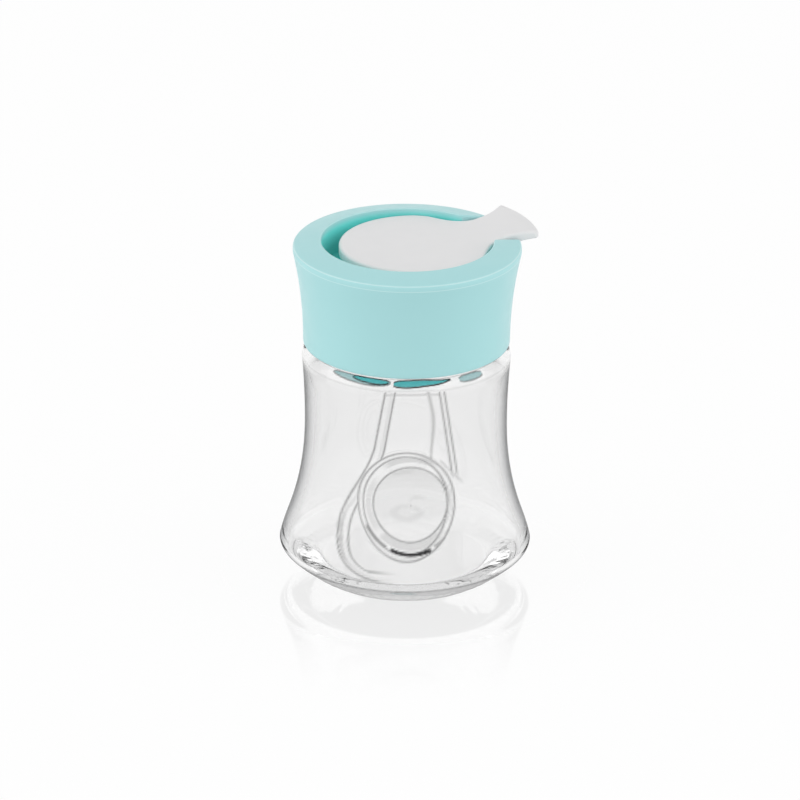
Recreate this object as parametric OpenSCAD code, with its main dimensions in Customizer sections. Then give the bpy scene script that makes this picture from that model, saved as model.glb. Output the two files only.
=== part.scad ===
// Table salt shaker: a flared glass jar, a screw cap with a sloping rim, and a flip lid with a thumb tab.
// Millimetres. The origin is the centre of the foot, +Z is up, and the tab points along +X.

/* [Jar] */
// Height of the glass from the table to its rim
jar_h = 73.4; // [68:0.2:90]
// Largest diameter, low on the body
heel_d = 60; // [56:0.5:70]
// Height of the largest diameter
heel_z = 8.6; // [7:0.1:11]
// Diameter of the flat that the jar stands on
foot_d = 38.5; // [30:0.5:42]
// Smallest diameter of the body
waist_d = 48.1; // [47:0.1:51]
// Height of the smallest diameter
waist_z = 39.5; // [36:0.5:44]
// Diameter where the body turns into the shoulder
shoulder_d = 49.6; // [48.4:0.1:52]
// Radius of the rounded shoulder
shoulder_round = 2.9; // [1.5:0.1:3]
// Length of the neck above the shoulder
neck_l = 15; // [13:0.5:18]
// Outer diameter of the neck
neck_d = 40.8; // [39:0.2:42]
// Thickness of the glass wall
wall = 2.4; // [2.2:0.1:3]
// Thickness of the glass floor
floor_t = 6.5; // [5:0.5:8]
// Radius of the rounded corner inside, between floor and wall
inner_corner = 6; // [4:0.5:8]

/* [Glass relief] */
// Reach of the drop-shaped panel from its middle line to its wide side
panel_wide = 17.8; // [16:0.1:19]
// Reach of the panel on its narrow side, beside the lens
panel_narrow = 11.6; // [11:0.1:13.5]
// Width of the panel's upper end, at the shoulder
panel_top_w = 13; // [10:0.5:18]
// Distance of the panel's upper end below the shoulder
panel_drop = 0.5; // [0.3:0.1:3]
// Height of the panel's lowest point
panel_low_z = 9.2; // [8.6:0.1:12]
// Height of the wide side's widest part
panel_wide_z = 21.5; // [20:0.5:26]
// Depth of the panel below the glass surface
panel_depth = 0.6; // [0.3:0.05:0.8]
// Diameter of the round lens in the panel
lens_d = 20; // [16:0.5:22]
// Height of the lens's centre
lens_z = 27; // [25:0.5:29]
// Depth of the lens below the panel
lens_depth = 0.5; // [0.2:0.05:0.6]
// Angle of the lens about the jar, from the tab
lens_turn = -113; // [-180:1:180]

/* [Thread and seal] */
// Rise of the thread in one turn
thread_pitch = 3.2; // [2.8:0.1:4]
// Length of each thread, in turns
thread_turns = 0.9; // [0.6:0.05:1.2]
// Height of each thread
thread_depth = 1.3; // [0.9:0.05:1.5]
// Clearance between a thread's crest and the wall that it faces
thread_clear = 0.4; // [0.3:0.05:0.6]
// Thickness of the sealing ring
gasket_t = 1.2; // [0.8:0.1:2]

/* [Cap] */
// Wall of the cap's skirt at its lower edge
skirt_wall = 2.4; // [1.6:0.1:3]
// Gap between the skirt's edge and the glass shoulder
skirt_gap = 0.8; // [0.4:0.1:1.2]
// How far the skirt flares outwards on its way up
flare = 2.5; // [1.5:0.05:4]
// Width of the rim, from the recess to the outer edge
rim_w = 6.65; // [5.5:0.05:7.5]
// Fall of the rim from its inner to its outer edge
rim_fall = 1.35; // [1:0.05:2.2]
// Radius of the rim's outer edge
rim_round = 1.4; // [0.6:0.1:1.6]
// Depth of the recess that the lid lies in
recess_depth = 8.4; // [8.2:0.1:10]
// Thickness of the deck under the recess
deck_t = 1.8; // [1.4:0.1:2.4]

/* [Lid] */
// Diameter of the lid
lid_d = 37.2; // [36:0.1:38.4]
// Height of the lid's edge
lid_t = 2.6; // [2.2:0.1:3]
// Thickness of the lid's top plate
plate_t = 1.4; // [1:0.1:1.6]
// Depth of the lid's top below the rim
lid_drop = 1.4; // [1:0.1:2]
// Crescent gap behind the lid, where its rear edge swings
swing_gap = 4.45; // [4:0.05:5]
// Clearance between the lid and the recess beside the tab
lid_clear = 0.55; // [0.4:0.05:1]
// Width of the tab's neck in the notch
tab_neck_w = 14.2; // [12:0.2:17]
// Width of the tab's end
tab_w = 20.4; // [17:0.2:22]
// How far the tab reaches past the rim
tab_over = 4.35; // [3:0.05:6]
// Height of the tab's end above the rim
tab_rise = 0.65; // [0.2:0.05:1.5]
// Thickness of the tab where it passes the rim
tab_t = 2.4; // [1.6:0.1:2.5]
// Thickness of the tab's tip
tab_tip_t = 1.2; // [0.8:0.1:1.5]
// Room beside the tab's neck in the rim's notch
notch_side = 0.8; // [0.6:0.05:1.6]
// Radius of the notch's rounded corners at the recess
notch_round = 3.2; // [1.5:0.1:4]
// Room under the lid's edge in the rim's notch
notch_under = 0.7; // [0.4:0.1:1.2]

/* [Hinge] */
// Distance of the hinge from the lid's rear edge
hinge_in = 3.9; // [3.6:0.1:4.2]
// Diameter of the trunnions
trunnion_d = 1.6; // [1.2:0.1:1.8]
// Radial clearance of a trunnion in its ear
trunnion_clear = 0.05; // [0.02:0.01:0.1]
// Material round the trunnion in an ear and in the knuckle
ear_wall = 0.5; // [0.4:0.05:0.6]
// Thickness of each ear
ear_t = 2.4; // [1.6:0.1:2.6]
// Width of the knuckle between the ears
knuckle_w = 4; // [3:0.1:4.4]
// Room between moving hinge faces
hinge_room = 0.3; // [0.2:0.05:0.4]

/* [Sifter] */
// Diameter of the perforated disc in the deck
sifter_d = 19; // [16:0.5:20]
// Clearance between the disc and the deck's opening
sifter_clear = 0.05; // [0.02:0.01:0.1]
// Width of the lip that the disc hangs by, under the deck
sifter_lip = 1.8; // [1.2:0.1:3]
// Thickness of the lip and of the perforated plate
sifter_t = 1.1; // [0.8:0.1:1.4]
// Diameter of the salt holes
hole_d = 1.6; // [1:0.1:2]
// Distance between one ring of holes and the next
hole_step = 2.9; // [2.6:0.1:3.2]
// Rings of holes round the middle one
hole_rings = 2; // [1:1:2]
// Gap between the lid's closing ring and the disc
seal_gap = 0.3; // [0.2:0.05:0.5]
// Wall of the lid's closing ring
seal_wall = 1.2; // [0.8:0.1:1.6]

/* [Hidden] */
$fn = 96;
eps = 0.01;

// Levels, from the table up
shoulder_z = jar_h - neck_l;
body_top_z = shoulder_z - shoulder_round;
skirt_z = shoulder_z + skirt_gap;
deck_under_z = jar_h + gasket_t;
deck_z = deck_under_z + deck_t;
rim_z = deck_z + recess_depth;
lid_top_z = rim_z - lid_drop;
lid_under_z = lid_top_z - lid_t;
plate_under_z = lid_top_z - plate_t;
ear_r = trunnion_d / 2 + trunnion_clear + ear_wall;
hinge_z = plate_under_z - hinge_room - ear_r;
notch_z = lid_under_z - notch_under;
tab_top_z = rim_z + tab_rise;

// Radii, from the axis out
heel_r = heel_d / 2;
foot_r = foot_d / 2;
waist_r = waist_d / 2;
shoulder_r = shoulder_d / 2;
neck_r = neck_d / 2;
mouth_r = neck_r - wall;
bore_r = neck_r + thread_depth + thread_clear;
skirt_r = bore_r + skirt_wall;
rim_r = skirt_r + flare;
recess_r = rim_r - rim_w;
lid_r = lid_d / 2;
lid_back = recess_r - swing_gap;
lid_x = lid_r - lid_back;
hinge_x = hinge_in - lid_back;
tab_tip = rim_r + tab_over;
sifter_r = sifter_d / 2;
seal_r = sifter_r - sifter_clear;

// Body outline: a power curve flares from the waist to the heel, a flatter one rises to the shoulder,
// and a superellipse rounds the heel down to the foot. A soft minimum blends the two at the heel.
flare_power = 2.18;
heel_power = 1.17;
heel_soft = 2.5;
heel_peak = heel_r + heel_soft / 4;
body_steps = 16;
heel_steps = 9;

function soft_min(a, b, k) =
    let (h = max(k - abs(a - b), 0) / k) min(a, b) - h * h * k / 4;
function flare_at(z) =
    waist_r
    + (heel_peak - waist_r) * pow(max(waist_z - z, 0) / (waist_z - heel_z), flare_power)
    + (shoulder_r - waist_r) * pow(max(z - waist_z, 0) / (body_top_z - waist_z), 2);
function heel_at(z) =
    let (t = max(heel_z - z, 0) / heel_z)
    foot_r + (heel_peak - foot_r) * pow(max(1 - pow(t, heel_power), 0), 1 / heel_power);
function body_at(z) = soft_min(flare_at(z), heel_at(z), heel_soft);

heel_levels = [for (i = [0 : heel_steps - 1]) heel_z * i / heel_steps];
body_levels = [for (i = [0 : body_steps]) heel_z + (body_top_z - heel_z) * pow(i / body_steps, 1.3)];
shoulder_arc = [for (i = [1 : 6]) [
    shoulder_r - shoulder_round * (1 - cos(15 * i)),
    body_top_z + shoulder_round * sin(15 * i)]];

// The solid body set in by a depth, up to the shoulder's top
module body_solid(inset = 0) {
    rotate_extrude() polygon(concat(
        [[0, 0]],
        [for (z = concat(heel_levels, body_levels)) [body_at(z) - inset, z]],
        [for (p = shoulder_arc) [p[0] - inset, p[1]]],
        [[0, shoulder_z]]));
}

// Inside of the jar: floor, rounded corner, wall, and a cosine that draws in to the mouth
corner_z = floor_t + inner_corner;
corner_r = flare_at(corner_z) - wall;
draw_in_z = body_top_z - wall;
draw_in_h = shoulder_round + 2 * wall;
draw_in_r = flare_at(draw_in_z) - wall;

module cavity() {
    rotate_extrude() polygon(concat(
        [[0, floor_t]],
        [for (i = [0 : 5]) [
            corner_r - inner_corner * (1 - sin(15 * i)),
            corner_z - inner_corner * cos(15 * i)]],
        [for (i = [0 : 12]) let (z = corner_z + (draw_in_z - corner_z) * i / 12) [flare_at(z) - wall, z]],
        [for (i = [1 : 8]) [
            mouth_r + (draw_in_r - mouth_r) * (1 + cos(22.5 * i)) / 2,
            draw_in_z + draw_in_h * i / 8]],
        [[mouth_r, jar_h + 1], [0, jar_h + 1]]));
}

// Reach of one side of the drop-shaped panel at a height: a cosine above its widest part, a superellipse
// below. The panel swings wide on one side of the lens and keeps close to it on the other.
panel_top_z = body_top_z - panel_drop;
panel_top_reach = panel_top_w / 2;
function panel_reach(z, widest, wide_z) =
    z >= wide_z
    ? let (u = (z - wide_z) / (panel_top_z - wide_z))
        panel_top_reach + (widest - panel_top_reach) * (1 + cos(180 * pow(u, 0.76))) / 2
    : let (u = (wide_z - z) / (wide_z - panel_low_z))
        widest * pow(max(1 - pow(u, 2.6), 0), 1 / 2.6);
function panel_levels(wide_z) = concat(
    [for (i = [0 : 6]) wide_z - (wide_z - panel_low_z) * cos(15 * i)],
    [for (i = [1 : 8]) wide_z + (panel_top_z - wide_z) * i / 8]);

wide_levels = panel_levels(panel_wide_z);
panel_outline = concat(
    [for (z = panel_levels(lens_z)) [panel_reach(z, panel_narrow, lens_z), z]],
    [for (i = [len(wide_levels) - 1 : -1 : 1])
        [-panel_reach(wide_levels[i], panel_wide, panel_wide_z), wide_levels[i]]]);

// Prism along +X of the panel's outline, and the tilted cylinder of the lens, less the glass behind them
module panel_cut() {
    difference() {
        translate([waist_r / 2, 0, 0]) rotate([90, 0, 90]) linear_extrude(heel_r) polygon(panel_outline);
        body_solid(panel_depth);
    }
}

lens_tilt = atan((flare_at(lens_z - lens_d / 2) - flare_at(lens_z + lens_d / 2)) / lens_d);

module lens_cut() {
    difference() {
        translate([flare_at(lens_z), 0, lens_z])
            rotate([0, 90 - lens_tilt, 0])
            translate([0, 0, -waist_r / 2])
            cylinder(d = lens_d, h = waist_r);
        body_solid(panel_depth + lens_depth);
    }
}

// One thread is a row of short ridges that climb a helix with vents between them. Each ridge is an arc of a
// ring, tilted by the helix angle about its own middle, with its back sunk into the wall at root_r.
thread_back_w = 1.5;
thread_crest_w = 0.7;
thread_sink = 0.5;
ridge_pitch = 54;
ridge_arc = 42;

module thread(root_r, height, start_z) {
    back = root_r - sign(height) * thread_sink;
    tip = root_r + height;
    helix_angle = atan(thread_pitch / (360 * root_r * PI / 180));
    for (i = [0 : floor(360 * thread_turns / ridge_pitch) - 1])
        rotate([0, 0, ridge_pitch * (i + 0.5)])
        translate([0, 0, start_z + thread_pitch * ridge_pitch * (i + 0.5) / 360])
        rotate([helix_angle, 0, 0])
        rotate([0, 0, -ridge_arc / 2])
        rotate_extrude(angle = ridge_arc)
        polygon([
            [back, -thread_back_w / 2],
            [tip, -thread_crest_w / 2],
            [tip, thread_crest_w / 2],
            [back, thread_back_w / 2]]);
}

// The jar's thread, and the cap's half a pitch below it, so that the cap is drawn down
thread_low_z = shoulder_z + neck_l / 2 - thread_pitch * thread_turns / 2 + thread_pitch / 2;
cap_thread_z = thread_low_z - thread_pitch / 2;

rim_edge = wall / 4;

module neck() {
    rotate_extrude() polygon([
        [0, body_top_z],
        [neck_r, body_top_z],
        [neck_r, jar_h - rim_edge],
        [neck_r - rim_edge, jar_h],
        [0, jar_h]]);
}

module glass_jar() {
    color([0.86, 0.93, 0.93, 0.45])
    difference() {
        union() {
            difference() {
                body_solid();
                for (side = [0, 180]) {
                    rotate([0, 0, lens_turn + side]) panel_cut();
                    rotate([0, 0, lens_turn + side]) lens_cut();
                }
            }
            neck();
            thread(neck_r, thread_depth, thread_low_z);
        }
        cavity();
    }
}

module neck_gasket() {
    color([0.93, 0.93, 0.9])
    translate([0, 0, jar_h])
    difference() {
        cylinder(r = neck_r + thread_depth, h = gasket_t);
        translate([0, 0, -1]) cylinder(r = mouth_r, h = gasket_t + 2);
    }
}

// Outline of the cap: the skirt's flare, the rounded outer edge, the sloping rim, and back down the recess
rim_edge_z = rim_z - rim_fall - rim_round;
skirt_steps = 12;
flare_curve = 2.06;
recess_edge = 0.5;

module cap_body() {
    rotate_extrude() polygon(concat(
        [[bore_r, skirt_z]],
        [for (i = [0 : skirt_steps]) [
            skirt_r + flare * pow(i / skirt_steps, flare_curve),
            skirt_z + (rim_edge_z - skirt_z) * i / skirt_steps]],
        [for (i = [1 : 5]) [
            rim_r - rim_round * (1 - cos(16 * i)),
            rim_edge_z + rim_round * sin(16 * i)]],
        [[recess_r + recess_edge, rim_z],
         [recess_r, rim_z - recess_edge],
         [recess_r, deck_z],
         [sifter_r, deck_z],
         [sifter_r, deck_under_z],
         [bore_r, deck_under_z]]));
}

// Notch in the rim that the tab passes through: parallel sides, with an arc from each to the recess's wall
notch_half = tab_neck_w / 2 + notch_side;
notch_reach = 2 * rim_r;
notch_arc_y = notch_half + notch_round;
notch_arc_x = sqrt(pow(recess_r + notch_round, 2) - pow(notch_arc_y, 2));
notch_arc_turn = 90 - atan2(notch_arc_y, notch_arc_x);
notch_side_points = concat(
    [[0, 0]],
    [for (i = [0 : 6])
        let (turn = -90 - notch_arc_turn * (1 - i / 6))
        [notch_arc_x + notch_round * cos(turn), notch_arc_y + notch_round * sin(turn)]],
    [[notch_reach, notch_half], [notch_reach, 0]]);

module notch() {
    for (side = [0, 1])
        mirror([0, side, 0])
        translate([0, -eps, notch_z])
        linear_extrude(rim_z)
        polygon(notch_side_points);
}

ear_in = knuckle_w / 2 + hinge_room;

// One ear: a round eye on a foot that stands on the deck, set forward to let the lid's edge pass behind
module ear() {
    difference() {
        union() {
            translate([hinge_x, 0, hinge_z]) rotate([-90, 0, 0]) cylinder(r = ear_r, h = ear_t);
            translate([hinge_x, 0, deck_z - eps]) cube([ear_r, ear_t, hinge_z - deck_z + eps]);
        }
        translate([hinge_x, -1, hinge_z])
            rotate([-90, 0, 0])
            cylinder(d = trunnion_d + 2 * trunnion_clear, h = ear_t + 2);
    }
}

module cap_collar() {
    color([0.66, 0.85, 0.855])
    union() {
        difference() {
            cap_body();
            notch();
        }
        translate([0, ear_in, 0]) ear();
        translate([0, -ear_in - ear_t, 0]) ear();
        thread(bore_r, -thread_depth, cap_thread_z);
    }
}

module sifter_disc() {
    barrel_r = sifter_r - sifter_clear;
    color([0.93, 0.94, 0.94])
    difference() {
        union() {
            translate([0, 0, deck_under_z]) cylinder(r = barrel_r, h = deck_t);
            translate([0, 0, deck_under_z - sifter_t]) cylinder(r = sifter_r + sifter_lip, h = sifter_t);
        }
        translate([0, 0, deck_under_z - sifter_t - 1])
            cylinder(r = barrel_r - sifter_t, h = deck_t + 1);
        for (ring = [0 : hole_rings], i = [0 : max(6 * ring, 1) - 1])
            rotate([0, 0, 60 * i / max(ring, 1)])
            translate([hole_step * ring, 0, deck_under_z - sifter_t])
            cylinder(d = hole_d, h = deck_t + 2 * sifter_t);
    }
}

// The lid's plan is where two discs meet: its own, and one that keeps clear of the recess beside the tab
lid_round = 0.7;

module lid_disc(r, x, bottom, top, round) {
    translate([x, 0, 0])
    rotate_extrude() polygon(concat(
        [[0, bottom], [r, bottom]],
        [for (i = [0 : 5]) [r - round * (1 - cos(18 * i)), top - round * (1 - sin(18 * i))]],
        [[0, top]]));
}

module lid_plan(inset, bottom, top, round) {
    intersection() {
        lid_disc(lid_r - inset, lid_x, bottom, top, round);
        lid_disc(recess_r - lid_clear - inset, 0, bottom, top, round);
    }
}

// Tab in plan: concave flanks from the disc to a straight neck, a flared tail and an end that is an arc
// about the jar's axis. Tab from the side: a tongue that rises from the disc's top and thins to its tip.
// The flanks leave the disc at a share of the recess's and the lid's radius, and the tail starts to flare
// a little inside the rim's edge.
flank_share = 0.7;
tab_root = recess_r * flank_share;
tab_neck = recess_r + lid_clear;
tail_inside = 1.4;
tab_flare_x = rim_r - tail_inside;
tab_flank = concat(
    [for (i = [0 : 6]) [
        tab_neck - (tab_neck - tab_root) * cos(15 * i),
        tab_neck_w / 2 + (lid_r * flank_share - tab_neck_w / 2) * (1 - sin(15 * i))]],
    [[tab_flare_x, tab_neck_w / 2]]);
tab_end_turn = asin(tab_w / 2 / tab_tip);
tab_end = [for (i = [0 : 4]) tab_tip * [cos(tab_end_turn * (1 - i / 4)), sin(tab_end_turn * (1 - i / 4))]];
tab_half = concat([[tab_root, 0]], tab_flank, tab_end);

module tab() {
    intersection() {
        union() {
            for (side = [0, 1])
                mirror([0, side, 0])
                linear_extrude(2 * rim_z)
                polygon(tab_half);
        }
        rotate([90, 0, 0])
            translate([0, 0, -tab_w])
            linear_extrude(2 * tab_w)
            polygon(concat(
                [for (x = tab_stations) [x, tab_top_at(x)]],
                [for (i = [8 : -1 : 0]) [tab_stations[i], tab_under_at(tab_stations[i])]]));
    }
}

tab_stations = [for (i = [0 : 8]) tab_root + (tab_tip - tab_root) * i / 8];
function tab_top_at(x) =
    lid_top_z + (tab_top_z - lid_top_z) * (1 - cos(180 * (x - tab_root) / (tab_tip - tab_root))) / 2;
function tab_under_at(x) =
    tab_top_at(x) - tab_t + (tab_t - tab_tip_t) * max(x - tab_flare_x, 0) / (tab_tip - tab_flare_x);

module knuckle() {
    translate([hinge_x, -knuckle_w / 2, hinge_z]) rotate([-90, 0, 0]) cylinder(r = ear_r, h = knuckle_w);
    translate([hinge_x - ear_r, -knuckle_w / 2, hinge_z])
        cube([2 * ear_r, knuckle_w, plate_under_z - hinge_z + eps]);
    translate([hinge_x, -ear_in - ear_t, hinge_z])
        rotate([-90, 0, 0])
        cylinder(d = trunnion_d, h = 2 * (ear_in + ear_t));
}

module flip_lid() {
    color([0.88, 0.88, 0.885])
    union() {
        difference() {
            lid_plan(0, lid_under_z, lid_top_z, lid_round);
            lid_plan(plate_t, lid_under_z - 1, plate_under_z, eps);
        }
        tab();
        knuckle();
        translate([0, 0, deck_z + seal_gap])
        difference() {
            cylinder(r = seal_r, h = plate_under_z - deck_z - seal_gap + eps);
            translate([0, 0, -1]) cylinder(r = seal_r - seal_wall, h = plate_under_z - deck_z - seal_gap + 1);
        }
    }
}

glass_jar();
neck_gasket();
cap_collar();
sifter_disc();
flip_lid();
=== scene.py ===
"""Table salt shaker: a bell-shaped glass jar, a mint screw cap and a pale flip lid, dressed round a frame.

Sizes in the classes are millimetres in the part's own frame: the origin is the centre of the foot, +Z is up
and the lid's tab points along +X. Blender's meshes are metres.
"""

import logging
import math
from dataclasses import dataclass, field
from enum import Enum
from functools import cached_property
from typing import Any, Callable

import bmesh
import bpy
import numpy as np
from mathutils import Matrix, Vector


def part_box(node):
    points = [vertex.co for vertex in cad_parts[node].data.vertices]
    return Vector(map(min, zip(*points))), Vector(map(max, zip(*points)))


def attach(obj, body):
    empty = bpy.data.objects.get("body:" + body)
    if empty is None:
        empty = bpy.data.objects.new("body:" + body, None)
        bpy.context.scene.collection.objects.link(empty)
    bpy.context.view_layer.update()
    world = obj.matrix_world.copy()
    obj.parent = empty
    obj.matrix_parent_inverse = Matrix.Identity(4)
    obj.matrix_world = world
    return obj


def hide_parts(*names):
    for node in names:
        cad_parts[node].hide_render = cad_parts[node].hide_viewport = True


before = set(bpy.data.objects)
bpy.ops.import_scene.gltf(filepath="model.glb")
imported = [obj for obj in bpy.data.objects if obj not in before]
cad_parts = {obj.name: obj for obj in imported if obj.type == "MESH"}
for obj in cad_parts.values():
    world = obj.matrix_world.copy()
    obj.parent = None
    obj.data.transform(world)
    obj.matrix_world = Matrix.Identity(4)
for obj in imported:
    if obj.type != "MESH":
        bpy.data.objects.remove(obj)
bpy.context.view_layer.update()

Array = np.ndarray
Colour = tuple[float, float, float]
Range = tuple[float, float]
Material = bpy.types.Material
Node = bpy.types.Node
Piece = bpy.types.Object
Socket = bpy.types.NodeSocket

LOG = logging.getLogger("salt_shaker")
MM = 0.001
FULL_TURN = 2.0 * math.pi
WELD = 1e-6
TINY = 1e-9
BLACK = (0.0, 0.0, 0.0)
WHITE = (1.0, 1.0, 1.0)


class Body(Enum):
    """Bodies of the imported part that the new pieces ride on."""

    JAR = "jar"
    CAP = "cap"
    LID = "lid"


class Slot(Enum):
    """Material slots of the record."""

    GLASS = "clear_glass"
    SEAL = "silicone"
    MINT = "mint_plastic"
    WHITE = "white_plastic"
    GREY_WHITE = "grey_white_plastic"


def smooth(share: Array) -> Array:
    """Eases 0 to 1 with a flat start and end: three times the square less twice the cube."""
    t = np.clip(share, 0.0, 1.0)
    return t * t * (3.0 - 2.0 * t)


def fade(value: Array, start: float, end: float) -> Array:
    """Eases from 0 at the start to 1 at the end, which may lie below the start."""
    return smooth((value - start) / (end - start))


def line(off: Array, half: float) -> Array:
    """One where off is zero, eased to nothing at the line's half width."""
    return smooth(1.0 - np.abs(off) / half)


def soft_min(a: Array, b: Array | float, reach: float) -> Array:
    """Lesser of two curves, with a parabola where they come within reach of each other."""
    near = np.maximum(reach - np.abs(a - b), 0.0) / reach
    return np.minimum(a, b) - near * near * reach / 4.0


def crisp(share: Array, softness: float) -> Array:
    """Rises straight from 0 to 1, with a short parabola at each of its two corners."""
    return -soft_min(-soft_min(share, 1.0, softness), 0.0, softness)


def points(*axes: Array | float) -> Array:
    """Joins coordinates, each an array or one number, into points along a new last axis."""
    return np.stack(np.broadcast_arrays(*axes), axis=-1)


def quarter(steps: int) -> Array:
    """Angles of a quarter turn, from 0 up."""
    return np.linspace(0.0, math.pi / 2.0, steps)


def arc(radius: float, start: float, end: float, steps: int, centre: float = 0.0) -> Array:
    """Points of an arc from one angle to another, about a centre on the X axis."""
    turned = np.linspace(start, end, steps)
    return points(centre + radius * np.cos(turned), radius * np.sin(turned))


def bezier(start: Array, control: Array, end: Array, steps: int) -> Array:
    """Points of a quadratic Bezier curve, from just after its start to its end."""
    t = np.linspace(0.0, 1.0, steps + 1)[1:, None]
    return (1.0 - t) ** 2 * start + 2.0 * t * (1.0 - t) * control + t ** 2 * end


def round_corners(corners: list[Any], setbacks: tuple[float, ...], steps: int = 5) -> Array:
    """Rounds the corners of an open outline; the two ends stay as they are.

    Each corner becomes a parabola that starts and ends at its setback along the two sides and has the
    corner as its middle control point.

    Args:
        corners: Points of the outline.
        setbacks: Distance from each inner corner to where its curve starts.
        steps: Points on each curve.

    Returns:
        Points of the rounded outline, one row each.
    """
    outline = np.array(corners)
    before, corner, after = outline[:-2], outline[1:-1], outline[2:]
    to_before = (before - corner) / np.linalg.norm(before - corner, axis=1, keepdims=True)
    to_after = (after - corner) / np.linalg.norm(after - corner, axis=1, keepdims=True)
    t = np.linspace(0.0, 1.0, steps)[None, :, None]
    reach = np.array(setbacks)[:, None, None]
    curve = (corner[:, None] + (1.0 - t) ** 2 * reach * to_before[:, None]
             + t ** 2 * reach * to_after[:, None])
    return np.concatenate([outline[:1], curve.reshape(-1, 2), outline[-1:]])


def turn(profile: Array, angles: Array) -> Array:
    """Carries a profile of (radius, height) round the Z axis.

    Args:
        profile: Array of (rows, 2), or of (rows, columns, 2) where the profile changes with the angle.
        angles: Angle of each column.

    Returns:
        Grid of (rows, columns, 3) points.
    """
    if profile.ndim == 2:
        profile = profile[:, None]
    radius, height = profile[..., 0], profile[..., 1]
    return points(radius * np.cos(angles), radius * np.sin(angles), height)


@dataclass
class Skin:
    """Gathers grids of points in millimetres and makes one mesh object of them."""

    points: list[Array] = field(default_factory=list)
    quads: list[Array] = field(default_factory=list)
    count: int = 0

    def add(self, grid: Array, close_rows: bool = False) -> None:
        """Adds a grid as quads between neighbouring rows and columns; the last column joins the first.

        Args:
            grid: Array of (rows, columns, 3) points.
            close_rows: Joins the last row to the first too.
        """
        rows, columns = grid.shape[:2]
        index = np.arange(rows * columns).reshape(rows, columns) + self.count
        if close_rows:
            index = np.concatenate([index, index[:1]], axis=0)
        index = np.concatenate([index, index[:, :1]], axis=1)
        corners = [index[:-1, :-1], index[:-1, 1:], index[1:, 1:], index[1:, :-1]]
        self.points.append(grid.reshape(-1, 3))
        self.quads.append(np.stack(corners, axis=-1).reshape(-1, 4))
        self.count += rows * columns

    def to_object(self, name: str, sharp_angle: float, tones: dict[str, Array] | None = None) -> Piece:
        """Makes the object: welds seams and poles, turns faces outwards and shades it smooth.

        Args:
            name: Name of the piece.
            sharp_angle: Edges that bend more than this, in degrees, stay sharp.
            tones: Named values of the points, kept as attributes that the finish reads.

        Returns:
            The new object, linked to the scene, at the origin.
        """
        places = np.concatenate(self.points) * MM
        quads = np.concatenate(self.quads)
        mesh = bpy.data.meshes.new(name)
        mesh.vertices.add(len(places))
        mesh.vertices.foreach_set("co", places.astype(np.float32).ravel())
        mesh.loops.add(quads.size)
        mesh.loops.foreach_set("vertex_index", quads.astype(np.int32).ravel())
        mesh.polygons.add(len(quads))
        mesh.polygons.foreach_set("loop_start", np.arange(0, quads.size, 4, dtype=np.int32))
        mesh.update(calc_edges=True)
        for tone, values in (tones or {}).items():
            layer = mesh.attributes.new(tone, "FLOAT", "POINT")
            layer.data.foreach_set("value", values.astype(np.float32).ravel())
        work = bmesh.new()
        work.from_mesh(mesh)
        bmesh.ops.remove_doubles(work, verts=work.verts, dist=WELD)
        bmesh.ops.dissolve_degenerate(work, edges=work.edges, dist=WELD)
        bmesh.ops.recalc_face_normals(work, faces=work.faces)
        work.to_mesh(mesh)
        work.free()
        mesh.shade_smooth()
        mesh.set_sharp_from_angle(angle=math.radians(sharp_angle))
        piece = bpy.data.objects.new(name, mesh)
        bpy.context.scene.collection.objects.link(piece)
        return piece


@dataclass
class NodeSheet:
    """A node tree with short calls that add nodes and feed their inputs."""

    tree: bpy.types.NodeTree

    def feed(self, node: Node, inputs: dict[Any, Any]) -> None:
        """Feeds a node's inputs.

        Args:
            node: The node.
            inputs: For each input, by name or number, a socket to link, or a colour or number to set.
        """
        for name, value in inputs.items():
            if isinstance(value, Socket):
                self.tree.links.new(value, node.inputs[name])
            else:
                node.inputs[name].default_value = (*value, 1.0) if isinstance(value, tuple) else value

    def add(self, kind: str, inputs: dict[Any, Any] | None = None, **settings: Any) -> Node:
        """Adds a node.

        Args:
            kind: Type of the node, without the word ShaderNode before it.
            inputs: What its inputs get, as for feed.
            **settings: Its properties by name.

        Returns:
            The new node.
        """
        node = self.tree.nodes.new("ShaderNode" + kind)
        for name, value in settings.items():
            setattr(node, name, value)
        self.feed(node, inputs or {})
        return node

    def math(self, operation: str, first: Any, second: Any = 0.0) -> Socket:
        """Adds a Math node whose inputs are sockets or numbers, and returns its output."""
        return self.add("Math", {0: first, 1: second}, operation=operation).outputs[0]

    def ease(self, value: Socket, low: float, high: float, start: float = 0.0, end: float = 1.0) -> Socket:
        """Maps low to high smoothly onto start to end, and returns the output."""
        inputs = {"Value": value, "From Min": low, "From Max": high, "To Min": start, "To Max": end}
        return self.add("MapRange", inputs, interpolation_type="SMOOTHSTEP").outputs["Result"]

    def noise(self, place: Socket, size_mm: float, detail: float = 2.0) -> Socket:
        """Adds a noise whose grains are about size_mm across, and returns its value."""
        inputs = {"Vector": place, "Scale": 1.0 / (size_mm * MM), "Detail": detail}
        return self.add("TexNoise", inputs).outputs["Fac"]

    def tone(self, name: str) -> Socket:
        """Reads a piece's own attribute, and returns its value."""
        return self.add("Attribute", attribute_name=name).outputs["Fac"]

    def mix(self, share: Socket, first: Any, second: Any) -> Socket:
        """Mixes two colours, each a socket or a colour, and returns the output."""
        return self.add("Mix", {0: share, 6: first, 7: second}, data_type="RGBA").outputs[2]

    def bump(self, height: Socket, strength: float, depth_mm: float) -> Socket:
        """Adds a bump of a given depth, and returns its normal."""
        inputs = {"Strength": strength, "Distance": depth_mm * MM, "Height": height}
        return self.add("Bump", inputs).outputs["Normal"]

    def axes(self, place: Socket) -> list[Socket]:
        """Splits a place into its three coordinates."""
        return list(self.add("SeparateXYZ", {0: place}).outputs)


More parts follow.
